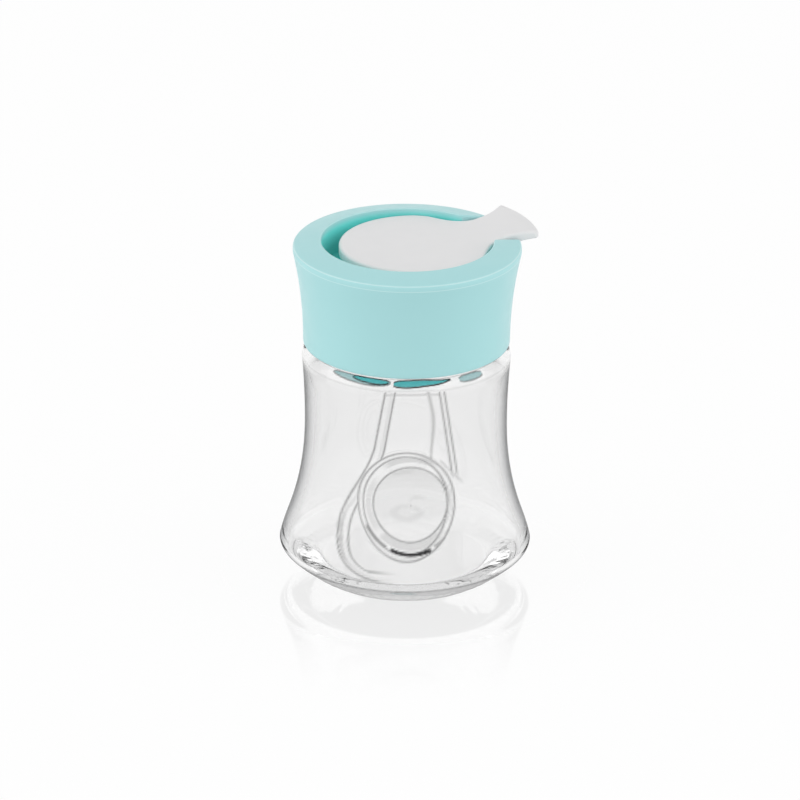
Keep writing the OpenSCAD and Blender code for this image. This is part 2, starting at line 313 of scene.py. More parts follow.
def new_material(slot: Slot) -> tuple[Material, NodeSheet, Node, Socket]:
    """Starts a material.

    Args:
        slot: The record's material slot, which names it.

    Returns:
        The material, its node sheet, its Principled shader and the Object coordinates.
    """
    material = bpy.data.materials.new(slot.value)
    material.use_nodes = True
    sheet = NodeSheet(material.node_tree)
    shader = material.node_tree.nodes["Principled BSDF"]
    place = sheet.add("TexCoord").outputs["Object"]
    return material, sheet, shader, place


@dataclass(frozen=True)
class ClearGlass:
    """Fire-polished moulded glass: clear, with painted shade where it is seen edge on, and the mould's
    faint waves.

    Painted shade lies along the relief's edges, painted light makes the glass lighter low down and in the
    shoulder, and the shoulder under the cap carries a painted reflection of the cap's colour. The jar's
    attributes say where.
    """

    slot: Slot = Slot.GLASS
    tint: Colour = (0.93, 0.93, 0.93)
    # Painted light: the colour of the glass where it is painted lighter.
    painted_light_colour: Colour = WHITE
    # Painted edge shade: the colour the glass takes where its side wall is seen edge on.
    painted_edge_shade_colour: Colour = (0.12, 0.125, 0.13)
    edge_slant: Range = (0.5, 0.9)
    # Painted shade lines: the colour along the relief's edges, the patches' outlines and round the
    # shoulder.
    painted_line_shade_colour: Colour = (0.0005, 0.0005, 0.0006)
    # Painted reflection: the cap's colour painted into the shoulder glass.
    cap_reflection_painted_colour: Colour = (0.01, 0.24, 0.26)
    ior: float = 1.36
    wave_mm: float = 9.0
    wave_detail: float = 1.0
    wave_strength: float = 0.25
    wave_depth_mm: float = 0.04
    absorption: float = 4.0

    def material(self) -> Material:
        """Makes the material: painted edge shade by slant, painted light, painted shade lines, the cap's
        painted reflection, waves in the bump, absorption.
        """
        material, sheet, shader, place = new_material(self.slot)
        slant = sheet.add("LayerWeight").outputs["Facing"]
        # Painted edge shade on the side wall, growing as the wall is seen more edge on.
        edge = sheet.math("MULTIPLY", sheet.ease(slant, *self.edge_slant), sheet.tone("painted_edge_shade_wall"))
        # Painted light: glass painted lighter low down and in the shoulder.
        plain = sheet.mix(sheet.tone("painted_light"), self.tint, self.painted_light_colour)
        clear = sheet.mix(edge, plain, self.painted_edge_shade_colour)
        # Painted reflection of the cap's colour in the shoulder under the cap.
        toned = sheet.mix(sheet.tone("painted_cap_reflection"), clear, self.cap_reflection_painted_colour)
        waves = sheet.noise(place, self.wave_mm, self.wave_detail)
        sheet.feed(shader, {
            # Painted shade lines go on last.
            "Base Color": sheet.mix(sheet.tone("painted_shade_lines"), toned, self.painted_line_shade_colour),
            "Transmission Weight": 1.0,
            "Roughness": 0.0,
            "IOR": self.ior,
            "Normal": sheet.bump(waves, self.wave_strength, self.wave_depth_mm),
        })
        depth = sheet.add("VolumeAbsorption", {"Color": BLACK, "Density": self.absorption})
        sheet.feed(material.node_tree.nodes["Material Output"], {"Volume": depth.outputs["Volume"]})
        return material


@dataclass(frozen=True)
class SatinPlastic:
    """Injection-moulded satin plastic with a fine mould texture and a slight drift of colour."""

    slot: Slot
    colour: Colour
    drift_colour: Colour
    gloss_roughness: float = 0.36
    dull_roughness: float = 0.46
    drift_mm: float = 14.0
    gloss_mm: float = 3.5
    gloss_detail: float = 3.0
    gloss_range: Range = (0.3, 0.7)
    grain_mm: float = 0.35
    grain_strength: float = 0.3
    grain_depth_mm: float = 0.012
    specular: float = 0.4
    sheen: float = 0.0

    def colour_at(self, sheet: NodeSheet, place: Socket) -> Socket:
        """Colour of the plastic: two near tones mixed by a slow noise."""
        return sheet.mix(sheet.noise(place, self.drift_mm), self.colour, self.drift_colour)

    def material(self) -> Material:
        """Makes the material: a fine grain gives the bump, and a middle one makes the gloss uneven."""
        material, sheet, shader, place = new_material(self.slot)
        uneven = sheet.noise(place, self.gloss_mm, self.gloss_detail)
        grain = sheet.noise(place, self.grain_mm)
        sheet.feed(shader, {
            "Base Color": self.colour_at(sheet, place),
            "Roughness": sheet.ease(uneven, *self.gloss_range, self.gloss_roughness, self.dull_roughness),
            "Specular IOR Level": self.specular,
            "Sheen Weight": self.sheen,
            "Normal": sheet.bump(grain, self.grain_strength, self.grain_depth_mm),
        })
        return material


@dataclass(frozen=True)
class RecessedPlastic(SatinPlastic):
    """Satin plastic with a painted glow inside a round recess, standing in for light that passes through
    it.

    Thin edges of the rim carry painted highlights: the recess's lip, and the upper and lower edge of the
    rim's band. The lip and the rim's edges are a place and a half width, and the other pairs are where a
    share is 0 and 1. All are millimetres.
    """

    sheen: float = 0.16
    # Painted glow: the colour standing in for light through the plastic inside the recess.
    painted_recess_glow_colour: Colour = (0.16, 0.86, 0.81)
    # Painted highlights: the colour and share of the light painted along the thin edges.
    painted_highlight_colour: Colour = (0.74, 0.9, 0.9)
    painted_highlight_share: float = 0.5
    recess_radii: Range = (20.75, 20.45)
    recess_levels: Range = (84.8, 82.4)
    lip: Range = (20.4, 0.28)
    lip_levels: Range = (84.4, 84.8)
    rim_edges: tuple[Range, ...] = ((83.32, 0.2), (82.05, 0.16))
    rim_radii: Range = (26.2, 26.5)

    def between(self, sheet: NodeSheet, value: Socket, ends: Range) -> Socket:
        """Zero at the first of two ends in millimetres and one at the second, which may be the lesser."""
        low, high = min(ends) * MM, max(ends) * MM
        return sheet.ease(value, low, high, float(ends[0] > ends[1]), float(ends[0] < ends[1]))

    def near(self, sheet: NodeSheet, value: Socket, edge: Range) -> Socket:
        """One on an edge, and zero away from it."""
        off = sheet.math("ABSOLUTE", sheet.math("SUBTRACT", value, edge[0] * MM))
        return self.between(sheet, off, (edge[1], 0.0))

    def colour_at(self, sheet: NodeSheet, place: Socket) -> Socket:
        """Colour of the plastic, with a painted glow below the lip of the recess and painted highlights on
        the thin edges.

        Args:
            sheet: Node sheet of the material.
            place: The Object coordinates.

        Returns:
            The colour's socket.
        """
        plain = super().colour_at(sheet, place)
        x, y, z = sheet.axes(place)
        square = sheet.math("ADD", sheet.math("MULTIPLY", x, x), sheet.math("MULTIPLY", y, y))
        radius = sheet.math("SQRT", square)
        inside = self.between(sheet, radius, self.recess_radii)
        below = sheet.math("MULTIPLY", inside, self.between(sheet, z, self.recess_levels))
        # Painted glow of light through the plastic, below the recess's lip.
        deep = sheet.mix(below, plain, self.painted_recess_glow_colour)
        # Painted highlights along the recess's lip and the rim's two edges.
        high = self.between(sheet, z, self.lip_levels)
        pale = sheet.math("MULTIPLY", self.near(sheet, radius, self.lip), high)
        outer = self.between(sheet, radius, self.rim_radii)
        for edge in self.rim_edges:
            shown = sheet.math("MULTIPLY", self.near(sheet, z, edge), outer)
            pale = sheet.math("MAXIMUM", pale, shown)
        return sheet.mix(sheet.math("MULTIPLY", pale, self.painted_highlight_share), deep, self.painted_highlight_colour)


@dataclass
class Thread:
    """One start of a jar thread: short ridges that climb a helix, with vents between them."""

    low: float
    pitch: float = 3.2
    turns: float = 0.9
    depth: float = 1.3
    half_foot: float = 0.72
    half_crest: float = 0.32
    ridge_pitch: float = 54.0
    ridge_arc: float = 42.0
    end_taper: float = 4.0

    def height_at(self, angles: Array, levels: Array) -> Array:
        """Height of the thread above its wall.

        The ridge's middle climbs one pitch in a turn. Its section eases from the crest to the foot, and its
        ends ease out along the turn.

        Args:
            angles: Angle of each column.
            levels: Height of each row.

        Returns:
            Array of (rows, columns) heights, zero away from the ridges.
        """
        degrees = np.degrees(angles) % 360.0
        along = (degrees % self.ridge_pitch) - self.ridge_pitch / 2.0
        ends = smooth((self.ridge_arc / 2.0 - np.abs(along)) / self.end_taper)
        ends = ends * (degrees < 360.0 * self.turns)
        middle = self.low + self.pitch * degrees / 360.0
        across = np.abs(levels[:, None] - middle)
        return self.depth * ends * fade(across, self.half_foot, self.half_crest)


@dataclass(frozen=True)
class Hinge:
    """Axis of the lid's hinge, along Y, and the radius of the ears and the knuckle round it."""

    x: float = -12.0
    level: float = 80.35
    radius: float = 1.35

    def bar(self, around: Array, lengths: Array, places: list[float]) -> Array:
        """Grid of a bar about the axis.

        Args:
            around: Angles of the section.
            lengths: Distance of the section from the axis, for each station and angle.
            places: Place of each station along Y.

        Returns:
            Grid of (stations, angles, 3) points.
        """
        across = np.array(places)[:, None]
        return points(self.x + lengths * np.cos(around), across, self.level + lengths * np.sin(around))


@dataclass(frozen=True)
class ShoulderPatch:
    """A painted reflection of the cap's colour in the shoulder, from one angle to another in degrees.

    Its outline is painted shade. Low and high are distances up the shoulder's arc. A positive taper thins
    the patch towards its end, and a negative one towards its start.
    """

    start: float
    end: float
    low: float
    high: float
    strength: float
    taper: float = 0.0
    fullness: float = 2.4
    softness: float = 0.3
    outline_half: float = 0.3
    outline_shade: float = 1.0

    def share_at(self, degrees: Array, rise: Array) -> tuple[Array, Array]:
        """Share of the patch and of its outline.

        The patch's height shrinks to its ends as a superellipse's does. The outline is full on the inner
        half of its width.

        Args:
            degrees: Angle of each column from the relief's middle line.
            rise: Distance of each row up the shoulder's arc, as a column.

        Returns:
            Two arrays of (rows, columns) shares from 0 to 1.
        """
        along = (2.0 * degrees - self.start - self.end) / (self.end - self.start)
        towards = np.clip((1.0 + math.copysign(1.0, self.taper) * along) / 2.0, 0.0, 1.0)
        half = (self.high - self.low) / 2.0 * (1.0 - abs(self.taper) * towards ** 2)
        height = half * np.maximum(1.0 - np.abs(along) ** self.fullness, 0.0) ** (1.0 / self.fullness)
        within = height - np.abs(rise - (self.high - half))
        on_it = np.abs(along) < 1.0
        share = smooth(within / self.softness + 0.5) * on_it
        outline = smooth(2.0 * (1.0 - np.abs(within) / self.outline_half)) * on_it
        return share, self.outline_shade * outline


@dataclass(frozen=True)
class Crescent:
    """An arc of shade on the lens's bevel.

    It lies round an angle, in degrees from the panel's narrow side upwards, at a distance outside the face.
    """

    towards: float
    half_angle: float
    middle: float
    half_width: float
    strength: float
    ease: float = 8.0
    softness: float = 0.35

    def share_at(self, degrees: Array, bevel: Array) -> Array:
        """Shade of the arc: full within its angle and its width, eased to nothing at its borders.

        Args:
            degrees: Angle of each point about the lens's centre.
            bevel: Distance of each point outside the lens's face.

        Returns:
            Array of shades.
        """
        turned = np.abs((degrees - self.towards + 180.0) % 360.0 - 180.0)
        along = smooth((self.half_angle - turned) / self.ease)
        within = self.half_width - np.abs(bevel - self.middle)
        return self.strength * along * smooth(within / self.softness)


@dataclass
class Relief:
    """The drop-shaped panel, with a lens in it, on the jar's front and on its back.

    It is worked out on the grid of the jar's body: rows is the body's profile as (radius, height), and
    angles has one angle for each column. Pairs of values named up count from the lens's centre, and those
    named rise from the panel's lower end. Each pair fades from its first value to its second.
    """

    rows: Array
    angles: Array
    towards: float
    body_top: float
    least_cosine: float = 0.5
    lens_level: float = 27.0
    lens_face: float = 9.0
    lens_half_width: float = 11.4
    lens_half_height: float = 13.0
    lens_ring_shift: float = -1.0
    lens_depth: float = 1.5
    lens_flatness: float = 0.45
    lens_bead: float = 0.3
    lens_bead_half: float = 0.9
    bevel_softness: float = 0.4
    panel_depth: float = 0.85
    panel_wide_top: float = 6.2
    panel_wide_level: float = 19.5
    panel_swell: float = 5.4
    swell_high: float = 42.0
    wide_lean: float = 0.16
    panel_narrow_top: float = 6.6
    narrow_lean: float = 0.155
    lean_ease: float = 8.0
    panel_power: float = 3.2
    panel_low: float = 9.2
    panel_low_fade: float = 7.0
    panel_band: float = 2.2
    band_wider: Range = (1.6, 2.9)
    band_middle: float = 50.0
    band_ease: float = 16.0
    band_fading: float = 3.0
    band_softness: float = 0.6
    crease_half: float = 0.46
    crease_shade: float = 0.85
    crease_back: float = 0.1
    stripe_shade: float = 0.22
    stripe_deeper: float = 0.4
    stripe_deep_up: Range = (0.0, -6.0)
    stripe_deep_rise: Range = (2.0, 5.0)
    stripe_inner: float = 0.45
    stripe_shift: float = 0.42
    stripe_shift_up: Range = (4.0, -4.0)
    wide_end_across: Range = (-10.0, -2.0)
    wide_end_rise: Range = (6.0, 3.0)
    narrow_end_up: Range = (5.0, 8.0)
    broad_shade: float = 0.7
    broad_wider: float = 1.7
    pair_gap: float = 1.1
    top_line_shade: float = 0.6
    top_line_drop: float = 0.5
    spur_start: Range = (6.7, 38.2)
    spur_end: Range = (13.2, 30.4)
    spur_eases: Range = (1.0, 3.0)
    spur_shade: float = 0.6
    ring_gap: float = 1.2
    crescents: tuple[Crescent, ...] = (
        Crescent(-90.0, 27.0, 2.65, 0.65, 1.0, ease=3.0, softness=0.3),
        Crescent(-90.0, 48.0, 1.0, 1.0, 0.33),
        Crescent(-137.0, 19.0, 2.75, 0.6, 0.85, ease=5.0),
        Crescent(-52.0, 10.0, 2.4, 0.55, 0.7, ease=4.0),
        Crescent(90.0, 40.0, 2.2, 1.0, 0.38, ease=16.0),
        Crescent(180.0, 44.0, 1.1, 0.8, 0.28, ease=18.0),
        Crescent(0.0, 46.0, 0.4, 0.8, 0.28, ease=18.0),
    )
    face_shade: float = 0.14
    face_shade_up: Range = (-5.5, -2.5)
    face_deeper: float = 0.15
    # A painted ring of shade on the lens's face, where the jar's floor would show through it.
    painted_floor_ring_shade: float = 0.27
    painted_floor_ring_centre: Range = (-0.9, -2.0)
    painted_floor_ring_half: Range = (6.4, 3.0)
    painted_floor_ring_share: float = 0.5

    @cached_property
    def level(self) -> Array:
        """Height of each row, as a column."""
        return self.rows[:, 1:]

    @cached_property
    def up(self) -> Array:
        """Height of each row above the lens's centre, as a column."""
        return self.level - self.lens_level

    @cached_property
    def rise(self) -> Array:
        """Height of each row above the panel's lower end, as a column."""
        return self.level - self.panel_low

    @cached_property
    def swing(self) -> Array:
        """Angle of each column from the middle line of the nearer relief, on the front or on the back."""
        return (self.angles - math.radians(self.towards) + math.pi / 2.0) % math.pi - math.pi / 2.0

    @cached_property
    def near(self) -> Array:
        """True on the columns that the reliefs can reach."""
        return np.cos(self.swing) > self.least_cosine

    @cached_property
    def front(self) -> Array:
        """One on the columns of the front's half, zero on those of the back's."""
        return (np.cos(self.angles - math.radians(self.towards)) > 0.0).astype(float)

    @cached_property
    def across(self) -> Array:
        """Distance of each point from the panel's middle line, negative on the panel's wide side."""
        return self.rows[:, :1] * np.sin(self.swing)

    @cached_property
    def inside(self) -> Array:
        """Distance of each point inside the panel's outline, negative outside it.

        The reach less the distance from the middle line, divided by the slope's length, is near the true
        distance. The panel swings wide on one side of the lens and keeps close to it on the other.
        """
        wide, wide_slope = self.side(
            self.panel_wide_top, self.wide_lean, self.panel_wide_level, self.panel_swell)
        narrow, narrow_slope = self.side(self.panel_narrow_top, self.narrow_lean, self.lens_level)
        on_wide = self.across < 0.0
        reach = np.where(on_wide, wide, narrow) - np.abs(self.across)
        return np.minimum(reach / np.where(on_wide, wide_slope, narrow_slope), self.rise)

    @cached_property
    def band(self) -> Array:
        """Width of the panel's bevelled band: even on the wide side, wider at the narrow side's ends."""
        high_end = smooth((self.level - self.band_middle) / self.band_ease)
        low_end = smooth((self.band_middle - self.level) / self.band_ease)
        fading = fade(self.up, self.lens_face, 0.0)
        wider = self.band_wider[0] * high_end + self.band_wider[1] * low_end + self.band_fading * fading
        return self.panel_band + wider * smooth(self.across / self.panel_wide_top)

    @cached_property
    def spread(self) -> Array:
        """Distance of each point from the lens's centre."""
        return np.hypot(self.across, self.up)

    @cached_property
    def edge(self) -> Array:
        """Distance from the lens's centre to the bevel's outer edge, an ellipse, towards each point."""
        shifted = self.across - self.lens_ring_shift * self.front
        slant = np.hypot(shifted / self.lens_half_width, self.up / self.lens_half_height)
        return self.spread / np.maximum(slant, TINY)

    def side(self, top: float, slope: float, stop: float, swell: float = 0.0) -> tuple[Array, Array]:
        """Reach of one side of the panel from its middle line.

        It leans out evenly on the way down and eases to a stop, may swell beside the lens, and rounds off
        below the stop as a superellipse down to the panel's lower end.

        Args:
            top: Reach at the body's top.
            slope: Growth of the reach on the way down.
            stop: Height where it stops growing.
            swell: Further growth beside the lens.

        Returns:
            The reach, and the length of its slope, each as a column.
        """
        level = self.rows[:, 1]
        lean = slope * (self.body_top + soft_min(-level, -stop, self.lean_ease))
        swelling = swell * fade(level, self.swell_high, stop)
        down = np.clip((stop - level) / (stop - self.panel_low), 0.0, 1.0)
        round_off = (1.0 - down ** self.panel_power) ** (1.0 / self.panel_power)
        reach = (top + lean + swelling) * round_off
        return reach[:, None], np.hypot(1.0, np.gradient(reach, level))[:, None]

    def depth(self) -> Array:
        """Depth of the relief below the body's surface.

        The panel is a step with an eased band. The lens is a round face, flatter than the wall round it, in
        a bevel that is an ellipse outside. On the front, a low bead runs round that ellipse.

        Returns:
            Array of (rows, columns) depths.
        """
        radius = self.rows[:, :1]
        low_end = smooth(self.rise / self.panel_low_fade)
        panel = self.panel_depth * low_end * crisp(self.inside / self.band, self.band_softness)
        face = crisp((self.edge - self.spread) / (self.edge - self.lens_face), self.bevel_softness)
        sag = radius - np.sqrt(np.maximum(radius ** 2 - self.across ** 2, 0.0))
        lens = self.lens_depth - self.lens_flatness * sag
        bead = self.lens_bead * self.front * line(self.spread - self.edge, self.lens_bead_half)
        return np.where(self.near, panel + (lens - panel) * face - bead, 0.0)

    def wide_shade(self) -> Array:
        """Shade of the band on the panel's wide side.

        Its two borders are lines. A grey stripe, deeper low down, lies along the inner border and moves to
        the outer one beside the lens. Below the lens all of it fades out towards the middle.

        Returns:
            Array of (rows, columns) shades from 0 to 1.
        """
        inside, band, half = self.inside, self.band, self.crease_half
        deeper = fade(self.up, *self.stripe_deep_up) * fade(self.rise, *self.stripe_deep_rise)
        shift = self.stripe_shift * band * fade(self.up, *self.stripe_shift_up)
        stripe = (smooth((inside - self.stripe_inner * band + shift) / half)
                  * smooth((band - inside - shift) / half))
        lines = np.maximum(line(inside, half), line(inside - band, half))
        shade = np.maximum(lines, stripe * (self.stripe_shade + self.stripe_deeper * deeper))
        gone = fade(self.across, *self.wide_end_across) * fade(self.rise, *self.wide_end_rise)
        return shade * (1.0 - gone)

    def narrow_shade(self) -> Array:
        """Shade of the band on the panel's narrow side.

        The inner border is broad and the outer one is a pair of lines. Both end beside the upper half of
        the lens, where a straight spur takes over.

        Returns:
            Array of (rows, columns) shades from 0 to 1.
        """
        half = self.crease_half
        pair = np.maximum(line(self.inside, half), line(self.inside + self.pair_gap, half))
        broad = self.broad_shade * line(self.inside - self.band, self.broad_wider * half)
        shade = np.maximum(pair, broad) * fade(self.up, *self.narrow_end_up)
        return np.maximum(shade, self.spur())

    def spur(self) -> Array:
        """Shade of the straight line that leaves the lens's ring on the narrow side, eased at its ends."""
        (x, z), (end_x, end_z) = self.spur_start, self.spur_end
        length = math.hypot(end_x - x, end_z - z)
        run, drop = (end_x - x) / length, (end_z - z) / length
        along = (self.across - x) * run + (self.level - z) * drop
        off = (self.across - x) * drop - (self.level - z) * run
        ends = smooth(along / self.spur_eases[0]) * smooth((length - along) / self.spur_eases[1])
        return self.spur_shade * line(off, self.crease_half) * ends

    def band_shade(self) -> Array:
        """Shade of the panel's whole band, with a line along its top; it ends at the shoulder."""
        half = self.crease_half
        below = self.body_top - self.level
        top = self.top_line_shade * line(below - self.top_line_drop, half)
        top = top * smooth(self.inside / half + 1.0)
        sides = np.where(self.across < 0.0, self.wide_shade(), self.narrow_shade())
        return np.maximum(sides, top) * smooth(below / half + 1.0)

    def lens_shade(self) -> Array:
        """Shade of the lens.

        The face and the bevel's outer edge have rings, with a third between them, and crescents lie on the
        bevel. The face has painted shade above, with a painted ring of shade where the jar's floor shows
        through it.

        Returns:
            Array of (rows, columns) shades from 0 to 1.
        """
        spread, edge, half = self.spread, self.edge, self.crease_half
        bevel = spread - self.lens_face
        rings = (line(spread - edge, half), line(bevel, half), line(edge - spread - self.ring_gap, half))
        shade = self.crease_shade * np.max(rings, axis=0)
        degrees = np.degrees(np.arctan2(self.up, self.across))
        for crescent in self.crescents:
            shade = np.maximum(shade, crescent.share_at(degrees, bevel))
        high = (self.face_shade * fade(self.up, *self.face_shade_up)
                + self.face_deeper * smooth(self.up / self.lens_face))
        # Painted ring of shade where the jar's floor would show through the lens.
        off_painted_floor_ring = np.hypot((self.across - self.painted_floor_ring_centre[0]) / self.painted_floor_ring_half[0],
                              (self.up - self.painted_floor_ring_centre[1]) / self.painted_floor_ring_half[1])
        painted_floor_ring = self.painted_floor_ring_shade * line(off_painted_floor_ring - self.painted_floor_ring_share, self.painted_floor_ring_share)
        return np.maximum(shade, np.maximum(high, painted_floor_ring) * smooth(-bevel / half))

    def shade(self) -> Array:
        """Shade of the whole relief, from 0 to 1: the lens and the band outside it, faint on the back."""
        band = np.where(self.spread < self.edge, 0.0, self.crease_shade * self.band_shade())
        lens = np.where(self.spread < self.edge + self.crease_half, self.lens_shade(), 0.0)
        return np.maximum(band, lens) * (np.maximum(self.front, self.crease_back) * self.near)


@dataclass
class GlassJar:
    """The glass jar: foot, bell-shaped body with two reliefs, shoulder, threaded neck and inside."""

    height: float
    heel_radius: float
    heel_level: float = 8.6
    heel_power: float = 1.17
    heel_reach: float = 2.5
    foot_radius: float = 19.25
    bearing: float = 2.6
    push_up: float = 0.9
    waist_radius: float = 24.05
    waist_level: float = 39.5
    flare_power: float = 2.18
    shoulder_radius: float = 24.8
    shoulder_round: float = 2.9
    neck_length: float = 15.0
    neck_radius: float = 20.4
    neck_fillet: float = 1.0
    thread_low: float = 66.06
    rim_round: float = 0.6
    wall: float = 2.4
    floor: float = 6.5
    floor_dome: float = 0.5
    inner_corner: float = 2.0
    columns: int = 360
    crowding: float = 0.5
    crowding_turn: float = 6.0
    dome_steps: int = 9
    bearing_steps: int = 4
    heel_steps: int = 29
    heel_crowding: float = 1.6
    body_steps: int = 142
    shoulder_steps: int = 23
    fillet_steps: int = 5
    neck_steps: int = 26
    rim_steps: int = 4
    opening_steps: int = 9
    inside_steps: int = 13
    corner_steps: int = 8
    floor_steps: int = 7
    sharp_angle: float = 180.0
    relief_turn: float = -113.0
    nub_count: int = 60
    nub_height: float = 0.16
    nub_level: float = 2.6
    nub_half: float = 1.3
    edge_low: float = 5.5
    edge_ease: float = 2.0
    # Painted light fades in downwards between the first two heights, and starts in the shoulder at the
    # third.
    painted_light_levels: Range = (27.0, 18.0)
    painted_light_shoulder: float = 56.0
    # Painted shade lines round the shoulder: one where its painted light starts, one along the cap's edge.
    border_shade: float = 0.2
    cap_line: float = 3.5
    cap_line_half: float = 0.2
    cap_line_shade: float = 0.7
    # Painted reflections of the cap's colour in the shoulder, with painted shade outlines.
    patches: tuple[ShoulderPatch, ...] = (
        ShoulderPatch(-49.0, -12.0, 1.5, 3.5, 0.85, taper=-0.3, outline_shade=0.8),
        ShoulderPatch(28.0, 45.0, 1.45, 3.3, 0.85, outline_shade=0.8),
        ShoulderPatch(-35.5, -13.0, 1.9, 3.5, 1.0, taper=-0.4),
        ShoulderPatch(-10.5, 23.5, 1.1, 3.15, 1.0, taper=0.75, fullness=3.2),
    )

    @property
    def shoulder_level(self) -> float:
        """Height of the shoulder's flat top."""
        return self.height - self.neck_length

    @property
    def body_top(self) -> float:
        """Height where the body turns into the rounded shoulder."""
        return self.shoulder_level - self.shoulder_round

    @property
    def heel_peak(self) -> float:
        """Radius that the two body curves aim for at the heel, before they are blended."""
        return self.heel_radius + self.heel_reach / 4.0

    @property
    def mouth(self) -> float:
        """Radius of the mouth."""
        return self.neck_radius - self.wall

    def flare_at(self, level: Array) -> Array:
        """Body radius above the heel: a power curve down from the waist and a parabola up from it."""
        below = np.maximum(self.waist_level - level, 0.0) / (self.waist_level - self.heel_level)
        above = np.maximum(level - self.waist_level, 0.0) / (self.body_top - self.waist_level)
        return (self.waist_radius + (self.heel_peak - self.waist_radius) * below ** self.flare_power
                + (self.shoulder_radius - self.waist_radius) * above ** 2)

    def body_at(self, level: Array) -> Array:
        """Body radius: the lesser, blended, of the flare and of a superellipse from foot to heel."""
        drop = np.maximum(self.heel_level - level, 0.0) / self.heel_level
        rise = np.maximum(1.0 - drop ** self.heel_power, 0.0) ** (1.0 / self.heel_power)
        heel = self.foot_radius + (self.heel_peak - self.foot_radius) * rise
        return soft_min(self.flare_at(level), heel, self.heel_reach)

    def angles(self) -> Array:
        """Angles of the columns, crowded by a sine towards the reliefs, most on the panel's wide side."""
        even = np.arange(self.columns) * FULL_TURN / self.columns
        crowded = even - self.crowding / 2.0 * np.sin(2.0 * even)
        return math.radians(self.relief_turn - self.crowding_turn) + crowded

    def base_rows(self) -> Array:
        """Underside from its middle to the foot: a low dome inside a flat bearing ring."""
        share = np.linspace(0.0, 1.0, self.dome_steps)
        inner = self.foot_radius - self.bearing
        dome = points(share * inner, self.push_up * (1.0 - smooth(share)))
        ring = points(np.linspace(inner, self.foot_radius, self.bearing_steps)[1:-1], 0.0)
        return np.concatenate([dome, ring])

    def body_rows(self) -> Array:
        """Outside from the foot over the heel, the body and the shoulder's quarter circle."""
        heel = self.heel_level * np.linspace(0.0, 1.0, self.heel_steps) ** self.heel_crowding
        body = np.linspace(self.heel_level, self.body_top, self.body_steps)[1:]
        levels = np.concatenate([heel, body])
        turned = quarter(self.shoulder_steps)[1:]
        shoulder = points(self.shoulder_radius - self.shoulder_round * (1.0 - np.cos(turned)),
                          self.body_top + self.shoulder_round * np.sin(turned))
        return np.concatenate([points(self.body_at(levels), levels), shoulder])

    def neck_rows(self) -> Array:
        """Outside of the neck: a fillet from the shoulder, then straight up to the rounded rim."""
        turned = quarter(self.fillet_steps)
        low = self.shoulder_level + self.neck_fillet
        fillet = points(self.neck_radius + self.neck_fillet * (1.0 - np.sin(turned)),
                        self.shoulder_level + self.neck_fillet * (1.0 - np.cos(turned)))
        levels = np.linspace(low, self.height - self.rim_round, self.neck_steps)[1:-1]
        return np.concatenate([fillet, points(self.neck_radius, levels)])

    def rim_rows(self) -> Array:
        """Rim: two quarter circles, from the neck's outside to its inside."""
        turned = quarter(self.rim_steps)
        level = self.height - self.rim_round * (1.0 - np.sin(turned))
        inset = self.rim_round * (1.0 - np.cos(turned))
        outer, inner = points(self.neck_radius - inset, level), points(self.mouth + inset, level)
        return np.concatenate([outer, inner[::-1]])

    def inside_rows(self) -> Array:
        """Inside from the mouth down: a cosine opens it to the wall, an arc ends it at the domed floor."""
        low = self.body_top - self.wall
        high = low + self.shoulder_round + 2.0 * self.wall
        wide = float(self.flare_at(np.array(low))) - self.wall
        share = np.linspace(0.0, 1.0, self.opening_steps)
        opening = points(self.mouth + (wide - self.mouth) * (1.0 - np.cos(math.pi * share)) / 2.0,
                         high + (low - high) * share)
        corner_level = self.floor + self.inner_corner
        levels = np.linspace(low, corner_level, self.inside_steps)[1:]
        straight = points(self.flare_at(levels) - self.wall, levels)
        turned = quarter(self.corner_steps)[1:]
        corner_radius = straight[-1, 0] - self.inner_corner
        corner = points(corner_radius + self.inner_corner * np.cos(turned),
                        corner_level - self.inner_corner * np.sin(turned))
        inward = np.linspace(1.0, 0.0, self.floor_steps)[1:]
        floor = points(corner_radius * inward, self.floor + self.floor_dome * (1.0 - smooth(inward)))
        return np.concatenate([opening, straight, corner, floor])

    def nubs(self, levels: Array, angles: Array) -> Array:
        """Height of the ring of stipple nubs low on the heel: a cosine round it, eased up and down."""
        round_it = np.maximum(np.cos(self.nub_count * angles), 0.0)
        return self.nub_height * line(levels - self.nub_level, self.nub_half) * round_it

    def shoulder_rise(self, levels: Array) -> Array:
        """Distance up the shoulder's arc: its radius times the angle whose sine is the share of height."""
        share = (levels - self.body_top) / self.shoulder_round
        return np.where(share > 0.0, np.arcsin(np.clip(share, 0.0, 1.0)), share) * self.shoulder_round

    def painted_cap_reflections(self, degrees: Array, rise: Array) -> tuple[Array, Array]:
        """Painted reflections of the cap's colour on the shoulder, and their painted shade outlines; a
        later one covers an earlier.

        Args:
            degrees: Angle of each column from the relief's middle line.
            rise: Distance of each row up the shoulder's arc, as a column.

        Returns:
            Arrays of (rows, columns) shares of the colour and of the outlines.
        """
        colour = np.zeros((len(rise), len(degrees)))
        outlines = np.zeros_like(colour)
        for patch in self.patches:
            share, outline = patch.share_at(degrees, rise)
            outlines = np.maximum(outlines * (1.0 - share), outline)
            colour = colour + share * (patch.strength - colour)
        return colour, outlines

